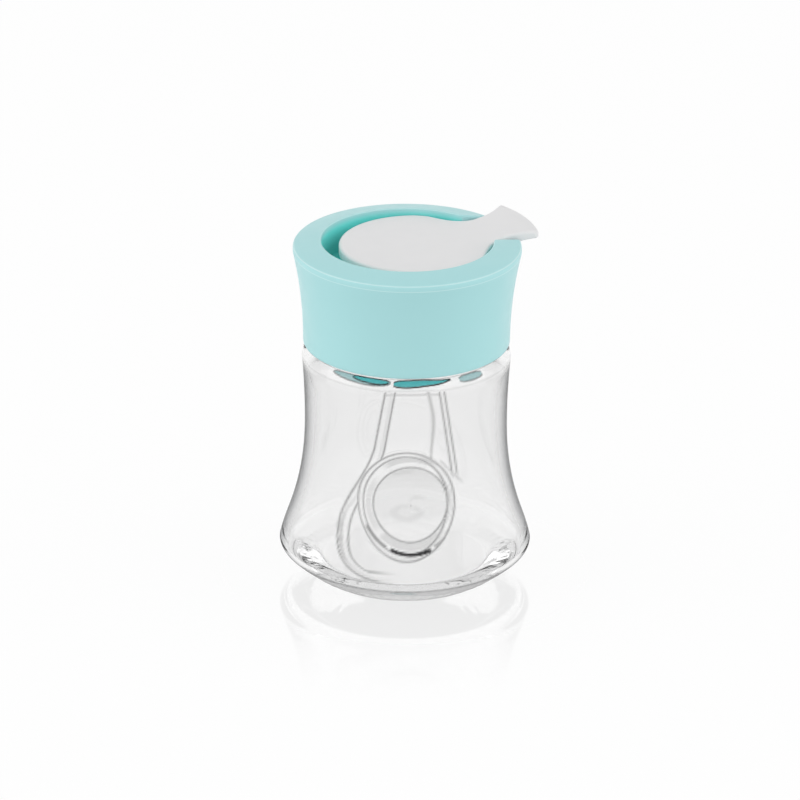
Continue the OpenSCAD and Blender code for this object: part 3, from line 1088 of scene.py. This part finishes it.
    def tones(self, relief: Relief) -> dict[str, Array]:
        """Values that the glass's finish reads on the body.

        Painted light makes the glass lighter low down and in the shoulder. Painted shade lines are the
        painted shade of the relief, of the patches' outlines and of two lines round the shoulder. The
        painted cap reflection is the cap's colour there, and the painted edge shade wall is the side wall,
        which gets painted shade where it is seen edge on.

        Args:
            relief: The relief, on the body's grid.

        Returns:
            For each name, an array of (rows, columns) values from 0 to 1.
        """
        level, half = relief.level, relief.crease_half
        rise = self.shoulder_rise(level)
        colour, outlines = self.painted_cap_reflections(np.degrees(relief.swing), rise)
        border = self.border_shade * line(level - self.painted_light_shoulder, half)
        cap_line = self.cap_line_shade * line(rise - self.cap_line, self.cap_line_half)
        shades = np.maximum(relief.shade(), outlines)
        # Painted light in the shoulder, and below it painted light low down.
        painted_light_shoulder = smooth((level - self.painted_light_shoulder) / half)
        tones = {
            "painted_light": np.maximum(fade(level, *self.painted_light_levels), painted_light_shoulder),
            "painted_shade_lines": np.maximum(shades, np.maximum(border, cap_line)),
            "painted_cap_reflection": colour,
            # Where the side wall gets painted edge shade.
            "painted_edge_shade_wall": (smooth((level - self.edge_low) / self.edge_ease)
                           * smooth((self.body_top - level) / self.edge_ease)),
        }
        return {name: np.broadcast_to(tone, relief.across.shape) for name, tone in tones.items()}

    def build(self) -> Piece:
        """Builds the jar as one closed surface turned from its profile, with its reliefs and thread."""
        angles = self.angles()
        body, neck = self.body_rows(), self.neck_rows()
        relief = Relief(body, angles, self.relief_turn, self.body_top)
        body_radius = body[:, :1] + (self.nubs(relief.level, angles) - relief.depth())
        neck_radius = neck[:, :1] + Thread(self.thread_low).height_at(angles, neck[:, 1])
        above = [points(neck_radius, neck[:, 1:]), self.rim_rows(), self.inside_rows()]
        base = self.base_rows()
        profiles = [base, points(body_radius, relief.level), *above]
        skin = Skin()
        skin.add(np.concatenate([turn(profile, angles) for profile in profiles]))
        bare = ((len(base), sum(len(profile) for profile in above)), (0, 0))
        tones = {name: np.pad(tone, bare) for name, tone in self.tones(relief).items()}
        return skin.to_object("glass_jar_moulded", self.sharp_angle, tones)


@dataclass
class CapCollar:
    """The screw cap: flared skirt, sloping rim with the tab's notch, recess, deck, ears and thread."""

    low: float
    rim_top: float
    rim_radius: float
    bore_radius: float = 22.1
    bore_start: float = 2.0
    skirt_radius: float = 24.5
    foot_height: float = 1.0
    foot_rounds: Range = (0.35, 0.5)
    flare_power: float = 2.06
    rim_fall: float = 1.35
    rim_round: float = 1.4
    rim_corner: float = 0.7
    recess_radius: float = 20.35
    deck_top: float = 76.4
    deck_under: float = 74.6
    sifter_radius: float = 9.5
    inner_rounds: tuple[float, ...] = (0.5, 0.7, 0.25, 0.15, 0.8)
    thread_low: float = 64.46
    notch_level: float = 80.1
    notch_half: float = 7.9
    notch_round: float = 3.2
    notch_edge: float = 0.6
    hinge: Hinge = Hinge()
    ear_hole: float = 0.85
    ear_inner: float = 2.3
    ear_thick: float = 2.4
    ear_sink: float = 0.2
    columns: int = 260
    notch_columns: int = 25
    edge_columns: int = 7
    skirt_steps: int = 34
    rim_steps: int = 7
    inner_steps: int = 6
    bore_steps: int = 64
    ear_foot_steps: int = 24
    ear_eye_steps: int = 40
    long_stretch: float = 1.5
    sharp_angle: float = 38.0

    @property
    def edge_level(self) -> float:
        """Height where the skirt's flare meets the rim's rounded edge."""
        return self.rim_top - self.rim_fall - self.rim_round

    @property
    def rim_slope(self) -> float:
        """Rise of the rim's top over two units of its width."""
        return 2.0 * self.rim_fall / (self.rim_radius - self.recess_radius)

    def skirt_at(self, level: Array) -> Array:
        """Outer radius of the skirt: a power curve that flares outwards on its way up."""
        share = np.clip((level - self.low) / (self.edge_level - self.low), 0.0, 1.0)
        return self.skirt_radius + (self.rim_radius - self.skirt_radius) * share ** self.flare_power

    def profile(self) -> Array:
        """Closed section of the cap, from the bore's lower edge outwards and back down the bore."""
        foot_top = self.low + self.foot_height
        foot = round_corners([
            [self.bore_radius, foot_top],
            [self.bore_radius, self.low],
            [self.skirt_radius, self.low],
            [float(self.skirt_at(np.array(foot_top))), foot_top],
        ], self.foot_rounds)
        levels = np.linspace(foot_top, self.edge_level, self.skirt_steps)[1:]
        skirt = points(self.skirt_at(levels), levels)
        band_top = self.rim_top - self.rim_fall
        edge = round_corners([
            skirt[-1],
            [self.rim_radius, band_top],
            [self.rim_radius - 2.0 * self.rim_corner, band_top + self.rim_corner * self.rim_slope],
        ], (self.rim_corner,), self.rim_steps)[1:]
        inner = round_corners([
            edge[-1],
            [self.recess_radius, self.rim_top],
            [self.recess_radius, self.deck_top],
            [self.sifter_radius, self.deck_top],
            [self.sifter_radius, self.deck_under],
            [self.bore_radius, self.deck_under],
            [self.bore_radius, self.deck_under - self.bore_start],
        ], self.inner_rounds, self.inner_steps)
        fine = np.linspace(inner[-1, 1], foot_top, self.bore_steps)[1:-1]
        bore = points(self.bore_radius, fine)
        return np.concatenate([foot, skirt, edge, self.denser(inner[1:]), bore])

    def denser(self, outline: Array) -> Array:
        """Adds two points on each long stretch of an outline.

        Args:
            outline: Points of an open outline.

        Returns:
            The points with the added ones between them.
        """
        along = np.diff(outline, axis=0)
        share = np.array([0.0, 1.0 / 3.0, 2.0 / 3.0])
        fine = outline[:-1, None] + share[None, :, None] * along[:, None]
        keep = np.ones(fine.shape[:2], dtype=bool)
        keep[np.linalg.norm(along, axis=1) <= self.long_stretch, 1:] = False
        return np.concatenate([fine[keep], outline[-1:]])

    def notch_turn(self, radius: Array) -> Array:
        """Half angle of the notch at a radius.

        The notch has parallel sides. Where it meets the recess's wall, an arc inside the rim touches both:
        its centre is one arc radius outside the side and outside the wall, and the law of cosines gives the
        angle at which the arc passes a radius.

        Args:
            radius: Distance from the axis.

        Returns:
            The half angle in radians.
        """
        reach = self.recess_radius + self.notch_round
        side = self.notch_half + self.notch_round
        middle = math.asin(side / reach)
        side_start = math.hypot(reach * math.cos(middle), self.notch_half)
        clear = np.maximum(radius, self.recess_radius)
        cosine = (clear ** 2 + reach ** 2 - self.notch_round ** 2) / (2.0 * clear * reach)
        on_arc = middle - np.arccos(np.clip(cosine, -1.0, 1.0))
        return np.where(clear < side_start, on_arc, np.arcsin(self.notch_half / clear))

    def columns_at(self, radius: Array) -> tuple[Array, Array]:
        """Angles of the columns at each row's radius, and how much of the rim stands at each.

        In the notch the rim is cut. Beside it the rim's ends rise in a quarter circle, and from there the
        columns are evenly spread round the rest.

        Args:
            radius: Radius of each row.

        Returns:
            The angles as (rows, columns), and a share from 0 in the notch to 1 on the whole rim.
        """
        half = self.notch_turn(radius)[:, None]
        near = self.notch_edge * (1.0 - np.cos(quarter(self.edge_columns)))
        fall = self.notch_edge - np.sqrt(self.notch_edge ** 2 - (self.notch_edge - near) ** 2)
        end_share = 1.0 - fall / (self.rim_top - self.notch_level)
        start = near[-1] / self.recess_radius
        even = np.linspace(0.0, 1.0, self.columns)[1:-1]
        across = np.linspace(-1.0, 1.0, self.notch_columns)
        rising = half + near / self.recess_radius
        middle = half + start + (FULL_TURN - 2.0 * (half + start)) * even
        angles = np.concatenate([half * across, rising, middle, FULL_TURN - rising[:, ::-1]], axis=1)
        share = np.concatenate([np.zeros_like(across), end_share, np.ones_like(even), end_share[::-1]])
        return angles, share

    def collar_grid(self) -> Array:
        """Grid of the collar: its section turned round, cut down in the notch, with the bore's thread."""
        profile = self.profile()
        outer = float(self.skirt_at(np.array(self.notch_level)))
        cut = points(np.clip(profile[:, 0], self.recess_radius, outer),
                     np.minimum(profile[:, 1], self.notch_level))
        cut = np.where(profile[:, 1:] > self.notch_level, cut, profile)
        angles, share = self.columns_at(profile[:, 0])
        cut_angles, _ = self.columns_at(cut[:, 0])
        angles = cut_angles + share * (angles - cut_angles)
        grid = cut[:, None] + share[None, :, None] * (profile - cut)[:, None]
        in_bore = np.abs(profile[:, :1] - self.bore_radius) < WELD
        thread = Thread(self.thread_low).height_at(angles[0], profile[:, 1])
        grid[..., 0] -= np.where(in_bore, thread, 0.0)
        return turn(grid, angles)

    def ear_grid(self, start: float) -> Array:
        """Grid of one ear: a round eye on a foot that stands on the deck, carried across its thickness.

        Args:
            start: Where the ear starts along Y.

        Returns:
            Grid whose rows go round the ear's section and whose columns go round its eye.
        """
        drop = self.hinge.level - self.deck_top + self.ear_sink
        foot_turn = np.linspace(-math.pi / 2.0, 0.0, self.ear_foot_steps)
        foot = np.minimum(self.hinge.radius / np.maximum(np.cos(foot_turn), TINY),
                          drop / np.maximum(-np.sin(foot_turn), TINY))
        eye_turn = np.linspace(0.0, 1.5 * math.pi, self.ear_eye_steps)[1:]
        outer = np.concatenate([foot, np.full_like(eye_turn, self.hinge.radius)])
        hole = np.full_like(outer, self.ear_hole)
        end = start + self.ear_thick
        around = np.concatenate([foot_turn, eye_turn])
        return self.hinge.bar(around, np.stack([hole, outer, outer, hole]), [start, start, end, end])

    def build(self) -> Piece:
        """Builds the collar and its two ears as one piece."""
        skin = Skin()
        skin.add(self.collar_grid(), close_rows=True)
        for start in (self.ear_inner, -self.ear_inner - self.ear_thick):
            skin.add(self.ear_grid(start), close_rows=True)
        return skin.to_object("cap_collar_moulded", self.sharp_angle)


@dataclass
class FlipLid:
    """The flip lid: a disc with a turned-down edge, fish-tail tab, closing ring and hinge knuckle."""

    rear: float
    tip: float
    radius: float
    ring_low: float
    tab_top: float
    top: float = 83.4
    edge_height: float = 2.6
    plate: float = 1.4
    edge_round: float = 0.7
    low_round: float = 0.3
    hollow_edge: float = 0.1
    beside_radius: float = 19.8
    flank_half: float = 15.0
    flank_pull: Range = (17.2, 8.0)
    neck_x: float = 20.9
    neck_half: float = 7.1
    flare_x: float = 25.45
    tail_half: float = 10.2
    tail_corner: float = 1.1
    tab_root: float = 14.25
    tab_solid: Range = (16.5, 21.0)
    tab_thick: float = 2.4
    tip_thick: float = 1.2
    ring_radius: float = 9.45
    ring_wall: float = 1.2
    ring_rounds: Range = (0.35, 0.35)
    sink: float = 0.2
    hinge: Hinge = Hinge()
    knuckle_half: float = 2.0
    trunnion_radius: float = 0.8
    trunnion_half: float = 4.7
    trunnion_chamfer: float = 0.15
    trunnion_end: float = 0.8
    outline_step: float = 0.4
    disc_steps: int = 120
    beside_steps: int = 40
    curve_steps: int = 20
    corner_steps: int = 12
    end_steps: int = 24
    spread_steps: int = 14
    edge_steps: int = 7
    low_steps: int = 5
    ring_columns: int = 144
    bar_columns: int = 64
    sharp_angle: float = 38.0

    @property
    def centre(self) -> float:
        """Place of the disc's centre along X."""
        return self.rear + self.radius

    def half_outline(self) -> Array:
        """Half of the lid's plan, from its rear round one side to the tip of the tab.

        An arc of the disc meets an arc that keeps clear of the recess. A Bezier curve sweeps from there to
        the tab's straight neck, and others flare to the tail's rounded corner. An arc about the axis is
        the end.

        Returns:
            Points (x, y) with y from 0 up, evenly spaced.
        """
        meet_x = (self.beside_radius ** 2 - self.radius ** 2 + self.centre ** 2) / (2.0 * self.centre)
        meet_angle = math.acos((meet_x - self.centre) / self.radius)
        disc = arc(self.radius, math.pi, meet_angle, self.disc_steps, self.centre)
        beside_start = math.acos(meet_x / self.beside_radius)
        beside_end = math.asin(self.flank_half / self.beside_radius)
        beside = arc(self.beside_radius, beside_start, beside_end, self.beside_steps)[1:]
        neck = np.array([self.neck_x, self.neck_half])
        flank = bezier(beside[-1], np.array(self.flank_pull), neck, self.curve_steps)
        flare = np.array([self.flare_x, self.neck_half])
        corner = np.array([math.sqrt(self.tip ** 2 - self.tail_half ** 2), self.tail_half])
        along = (corner - flare) / np.linalg.norm(corner - flare)
        tail_end = corner - self.tail_corner * along
        tail_start = (neck + flare) / 2.0
        tail = bezier(tail_start, flare, tail_end, self.curve_steps)
        end_start = math.asin((self.tail_half - self.tail_corner) / self.tip)
        end = arc(self.tip, end_start, 0.0, self.end_steps)
        rounded = bezier(tail_end, corner, end[0], self.corner_steps)
        outline = np.concatenate([disc, beside, flank, tail_start[None, :], tail, rounded, end[1:]])
        length = np.concatenate([[0.0], np.cumsum(np.linalg.norm(np.diff(outline, axis=0), axis=1))])
        even = np.linspace(0.0, length[-1], int(length[-1] / self.outline_step))
        return points(np.interp(even, length, outline[:, 0]), np.interp(even, length, outline[:, 1]))

    def outline(self) -> tuple[Array, Array]:
        """Whole plan of the lid and its outward normals, as a closed loop."""
        half = self.half_outline()
        loop = np.concatenate([half, (half * np.array([1.0, -1.0]))[-2:0:-1]])
        along = np.roll(loop, -1, axis=0) - np.roll(loop, 1, axis=0)
        along = along / np.linalg.norm(along, axis=1, keepdims=True)
        return loop, points(-along[:, 1], along[:, 0])

    def top_at(self, x: Array) -> Array:
        """Height of the top: flat on the disc, and a half cosine up to the tab's end."""
        share = np.clip((x - self.tab_root) / (self.tip - self.tab_root), 0.0, 1.0)
        return self.top + (self.tab_top - self.top) * (1.0 - np.cos(math.pi * share)) / 2.0

    def low_at(self, x: Array) -> Array:
        """Height of the lower edge, which rises from the disc's to the tab's and on to the thin tip.

        Args:
            x: Places along X.

        Returns:
            The heights.
        """
        thinner = self.tab_thick - self.tip_thick
        taper = thinner * np.clip((x - self.flare_x) / (self.tip - self.flare_x), 0.0, 1.0)
        on_tab = (self.edge_height - self.tab_thick) * fade(x, *self.tab_solid)
        return self.top_at(x) - self.edge_height + on_tab + taper

    def under_at(self, x: Array) -> Array:
        """Height of the plate's underside, which meets the lower edge on the solid tab."""
        hollow = self.edge_height - self.plate
        return self.low_at(x) + hollow * (1.0 - fade(x, *self.tab_solid))

    def plate_grid(self) -> Array:
        """Grid of the disc and tab: rows go from the middle line over the top, round the edge and back."""
        loop, normal = self.outline()
        rows = []

        def add(inset: float, spread: float, height: Callable[[Array], Array], lift: float = 0.0) -> None:
            """Adds a row: the plan, set in and drawn to the middle line, at a height plus a lift."""
            plan = loop - inset * normal
            rows.append(points(plan[:, 0], plan[:, 1] * spread, height(plan[:, 0]) + lift))

        def hollow_at(x: Array) -> Array:
            """Height just inside the lower edge, never above the underside."""
            return np.minimum(self.low_at(x) + self.hollow_edge, self.under_at(x))

        for spread in np.linspace(0.0, 1.0, self.spread_steps):
            add(self.edge_round, spread, self.top_at)
        for turned in quarter(self.edge_steps)[1:]:
            add(self.edge_round * (1.0 - math.sin(turned)), 1.0, self.top_at,
                -self.edge_round * (1.0 - math.cos(turned)))
        for turned in quarter(self.low_steps):
            add(self.low_round * (1.0 - math.cos(turned)), 1.0, self.low_at,
                self.low_round * (1.0 - math.sin(turned)))
        add(self.plate - self.hollow_edge, 1.0, self.low_at)
        add(self.plate, 1.0, hollow_at)
        for spread in np.linspace(1.0, 0.0, self.spread_steps):
            add(self.plate, spread, self.under_at)
        return np.stack(rows)

    def ring_grid(self) -> Array:
        """Grid of the closing ring: a rounded section turned round the axis, with its top in the plate."""
        high = self.top - self.plate + self.sink
        inner = self.ring_radius - self.ring_wall
        section = round_corners([
            [inner, high],
            [inner, self.ring_low],
            [self.ring_radius, self.ring_low],
            [self.ring_radius, high],
        ], self.ring_rounds)
        return turn(section, np.arange(self.ring_columns) * FULL_TURN / self.ring_columns)

    def knuckle_grid(self, around: Array) -> Array:
        """Grid of the knuckle: round below the axis and square above it, up into the plate.

        Args:
            around: Angles of the section.

        Returns:
            Grid of (stations, angles, 3) points.
        """
        rise = self.top - self.plate - self.hinge.level + self.sink
        block = np.minimum(self.hinge.radius / np.maximum(np.abs(np.cos(around)), TINY),
                           rise / np.maximum(np.sin(around), TINY))
        section = np.where(np.sin(around) > 0.0, block, self.hinge.radius)
        half = self.knuckle_half
        return self.hinge.bar(around, np.outer([0.0, 1.0, 1.0, 0.0], section), [-half, -half, half, half])

    def trunnion_grid(self, around: Array) -> Array:
        """Grid of the two trunnions: a round bar with chamfered ends, right through the knuckle.

        Args:
            around: Angles of the section.

        Returns:
            Grid of (stations, angles, 3) points.
        """
        end = self.trunnion_half
        full = end - self.trunnion_chamfer
        scale = [0.0, self.trunnion_end, 1.0, 1.0, self.trunnion_end, 0.0]
        section = np.full_like(around, self.trunnion_radius)
        return self.hinge.bar(around, np.outer(scale, section), [-end, -end, -full, full, end, end])

    def build(self) -> Piece:
        """Builds the disc and tab, the closing ring, the knuckle and the trunnions as one piece."""
        around = np.arange(self.bar_columns) * FULL_TURN / self.bar_columns
        skin = Skin()
        skin.add(self.plate_grid())
        skin.add(self.ring_grid(), close_rows=True)
        skin.add(self.knuckle_grid(around))
        skin.add(self.trunnion_grid(around))
        return skin.to_object("flip_lid_moulded", self.sharp_angle)


@dataclass(frozen=True)
class Softbox:
    """A square soft light that faces the object.

    Side is its azimuth from the camera's, and lift its elevation, in degrees. Level is the share of a white
    surface's brightness that it gives to one that faces it.
    """

    name: str
    side: float
    lift: float
    level: float
    size: float = 1500.0


@dataclass
class Studio:
    """Floor, light and camera of a plain pale studio."""

    view_azimuth: float = -26.0
    view_elevation: float = 22.8
    view_distance: float = 1500.0
    view_roll: float = 0.47
    view_end: float = 100000.0
    focal_px: float = 6303.0
    image_px: int = 800
    sensor: float = 36.0
    aim_level: float = 42.0
    aim_px: Range = (406.0, 406.6)
    floor_half: float = 4000.0
    floor_drop: float = 0.05
    floor_white: float = 0.92
    floor_lift: float = 0.95
    card_grey: float = 0.3
    card_near: float = 120.0
    card_far: float = 150.0
    mirror: float = 0.14
    mirror_near: float = 34.0
    mirror_far: float = 76.0
    mirror_roughness: float = 0.05
    world_light: float = 0.67
    ceiling_light: float = 0.49
    ceiling_light_range: Range = (0.2, 0.9)
    ceiling_dark: float = 0.3
    ceiling_dark_range: Range = (0.25, 0.75)
    flag_grey: float = 0.4
    flag_sides: Range = (-90.0, 90.0)
    flag_lift: float = 10.0
    flag_range: Range = (0.6, 0.9)
    light_distance: float = 1500.0
    softboxes: tuple[Softbox, ...] = (
        Softbox("front_light", 0.0, 25.0, 0.12),
        Softbox("left_light", -80.0, 30.0, 0.44),
        Softbox("right_light", 80.0, 30.0, 0.4),
    )

    def direction(self, azimuth: float, elevation: float) -> Vector:
        """Direction from the object to a place seen at an azimuth and an elevation, in degrees."""
        turned, lift = math.radians(azimuth), math.radians(elevation)
        level = math.cos(lift)
        return Vector((math.sin(turned) * level, -math.cos(turned) * level, math.sin(lift)))

    def camera(self) -> None:
        """Places the camera so that the aim point on the axis falls on its pixel, with a slight roll."""
        data = bpy.data.cameras.new("view")
        data.sensor_width = self.sensor
        data.lens = self.focal_px * self.sensor / self.image_px
        data.clip_end = self.view_end * MM
        away = self.direction(self.view_azimuth, self.view_elevation)
        turned = away.to_track_quat("Z", "Y").to_matrix()
        right, up = turned.col[0], turned.col[1]
        scale = self.view_distance / self.focal_px
        centre = self.image_px / 2.0
        shift = right * ((centre - self.aim_px[0]) * scale) + up * ((self.aim_px[1] - centre) * scale)
        target = (Vector((0.0, 0.0, self.aim_level)) + shift) * MM
        roll = Matrix.Rotation(math.radians(self.view_roll), 3, "Z")
        place = Matrix.Translation(target + away * self.view_distance * MM)
        view = bpy.data.objects.new("view", data)
        view.matrix_world = place @ (turned @ roll).to_4x4()
        bpy.context.scene.collection.objects.link(view)
        bpy.context.scene.camera = view

    def background_rays(self, sheet: NodeSheet) -> Socket:
        """One for camera, glossy and transmission rays, and zero for the rest."""
        path = sheet.add("LightPath").outputs
        seen = sheet.math("MAXIMUM", path["Is Camera Ray"], path["Is Glossy Ray"])
        return sheet.math("MAXIMUM", seen, path["Is Transmission Ray"])

    def floor_material(self) -> Material:
        """Makes the floor's finish: matt white, lifted towards white where it is seen, with a faint mirror.

        Gloss sees a grey card in its middle, which gives the glass its dark outline.

        Returns:
            The material.
        """
        material = bpy.data.materials.new("floor_white")
        material.use_nodes = True
        material.node_tree.nodes.clear()
        sheet = NodeSheet(material.node_tree)
        place = sheet.add("TexCoord").outputs["Object"]
        away = sheet.add("VectorMath", {0: place}, operation="LENGTH").outputs["Value"]
        path = sheet.add("LightPath").outputs
        in_gloss = sheet.math("GREATER_THAN", path["Is Glossy Ray"], path["Is Transmission Ray"])
        card = sheet.ease(away, self.card_near * MM, self.card_far * MM, 1.0 - self.card_grey, 0.0)
        strength = sheet.math("SUBTRACT", 1.0, sheet.math("MULTIPLY", in_gloss, card))
        matt = sheet.add("BsdfDiffuse", {"Color": (self.floor_white,) * 3}).outputs[0]
        glow = sheet.add("Emission", {"Strength": strength}).outputs[0]
        mirror = {"Color": WHITE, "Roughness": self.mirror_roughness}
        gloss = sheet.add("BsdfAnisotropic", mirror).outputs[0]
        lift = sheet.math("MULTIPLY", self.background_rays(sheet), self.floor_lift)
        lifted = sheet.add("MixShader", {0: lift, 1: matt, 2: glow}).outputs[0]
        near = sheet.ease(away, self.mirror_near * MM, self.mirror_far * MM, self.mirror, 0.0)
        finish = sheet.add("MixShader", {0: near, 1: lifted, 2: gloss}).outputs[0]
        sheet.add("OutputMaterial", {"Surface": finish})
        return material

    def floor(self) -> None:
        """Lays the white floor, just under the foot."""
        half, level = self.floor_half * MM, -self.floor_drop * MM
        corners = [(-half, -half, level), (half, -half, level), (half, half, level), (-half, half, level)]
        mesh = bpy.data.meshes.new("floor")
        mesh.from_pydata(corners, [], [(0, 1, 2, 3)])
        mesh.materials.append(self.floor_material())
        ground = bpy.data.objects.new("floor", mesh)
        bpy.context.scene.collection.objects.link(ground)

    def world(self) -> None:
        """Sets the world: white to the camera, with a darker ceiling and two flags for glass and gloss."""
        world = bpy.data.worlds.new("studio")
        world.use_nodes = True
        bpy.context.scene.world = world
        sheet = NodeSheet(world.node_tree)
        path = sheet.add("LightPath").outputs
        place = sheet.add("TexCoord").outputs["Generated"]
        height = sheet.axes(place)[2]
        flags = sheet.ease(height, *self.ceiling_dark_range, 0.0, self.ceiling_dark)
        for side in self.flag_sides:
            aim = self.direction(self.view_azimuth + side, self.flag_lift)
            towards = sheet.add("VectorMath", {0: place, 1: aim}, operation="DOT_PRODUCT").outputs["Value"]
            flags = sheet.math("MAXIMUM", flags, sheet.ease(towards, *self.flag_range))
        shown = sheet.mix(flags, WHITE, (self.flag_grey,) * 3)
        seen = sheet.mix(path["Is Camera Ray"], shown, WHITE)
        above = sheet.ease(height, *self.ceiling_light_range)
        light = sheet.mix(above, (self.world_light,) * 3, (self.ceiling_light,) * 3)
        colour = sheet.mix(self.background_rays(sheet), light, seen)
        sheet.feed(world.node_tree.nodes["Background"], {"Color": colour, "Strength": 1.0})

    def light(self, box: Softbox) -> None:
        """Adds a soft light.

        Args:
            box: The light's place, size and level.
        """
        data = bpy.data.lights.new(box.name, "AREA")
        data.shape = "SQUARE"
        data.size = box.size * MM
        data.energy = box.level * math.pi ** 2 * (self.light_distance * MM) ** 2
        away = self.direction(self.view_azimuth + box.side, box.lift)
        middle = Vector((0.0, 0.0, self.aim_level)) * MM
        lamp = bpy.data.objects.new(box.name, data)
        lamp.matrix_world = (Matrix.Translation(middle + away * self.light_distance * MM)
                             @ away.to_track_quat("Z", "Y").to_matrix().to_4x4())
        bpy.context.scene.collection.objects.link(lamp)

    def build(self) -> None:
        """Sets up the whole studio."""
        self.camera()
        self.floor()
        self.world()
        for box in self.softboxes:
            self.light(box)
        bpy.context.scene.view_settings.view_transform = "Standard"


def node_size(name: str) -> tuple[Vector, Vector]:
    """Lowest and highest corner of a node of the frame, in millimetres."""
    low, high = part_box(name)
    return low / MM, high / MM


def dress(piece: Piece, finish: ClearGlass | SatinPlastic, body: Body, node: str) -> None:
    """Gives a piece its finish and its place in the part.

    Args:
        piece: The new piece.
        finish: Its finish, which names the record's material slot.
        body: The body that it rides on.
        node: The node that it stands for.
    """
    piece.data.materials.append(finish.material())
    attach(piece, body.value)
    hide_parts(node)
    LOG.info("%s on %s: %d faces", piece.name, body.value, len(piece.data.polygons))


def dress_node(node: str, finish: SatinPlastic) -> None:
    """Gives a node of the frame, whose shape stays, a better finish.

    Args:
        node: Name of the node.
        finish: Its finish.
    """
    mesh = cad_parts[node].data
    mesh.materials.clear()
    mesh.materials.append(finish.material())
    LOG.info("%s keeps its shape", node)


def main() -> None:
    """Builds the shaker's pieces in order, then the studio."""
    logging.basicConfig(level=logging.INFO)
    mint = RecessedPlastic(Slot.MINT, (0.41, 0.73, 0.745), (0.395, 0.715, 0.73))
    grey_white = SatinPlastic(Slot.GREY_WHITE, (0.81, 0.805, 0.81), (0.785, 0.785, 0.79))
    white = SatinPlastic(Slot.WHITE, (0.84, 0.85, 0.85), (0.82, 0.83, 0.83))
    seal = SatinPlastic(Slot.SEAL, (0.85, 0.86, 0.84), (0.82, 0.83, 0.81),
                        gloss_roughness=0.5, dull_roughness=0.62)

    low, high = node_size("glass_jar")
    jar = GlassJar(height=high.z, heel_radius=high.y)
    dress(jar.build(), ClearGlass(), Body.JAR, "glass_jar")
    low, high = node_size("cap_collar")
    cap = CapCollar(low=low.z, rim_top=high.z, rim_radius=-low.x)
    dress(cap.build(), mint, Body.CAP, "cap_collar")
    low, high = node_size("flip_lid")
    lid = FlipLid(rear=low.x, tip=high.x, radius=high.y, ring_low=low.z, tab_top=high.z)
    dress(lid.build(), grey_white, Body.LID, "flip_lid")
    dress_node("sifter_disc", white)
    dress_node("neck_gasket", seal)

    Studio().build()


if __name__ == "__main__":
    main()
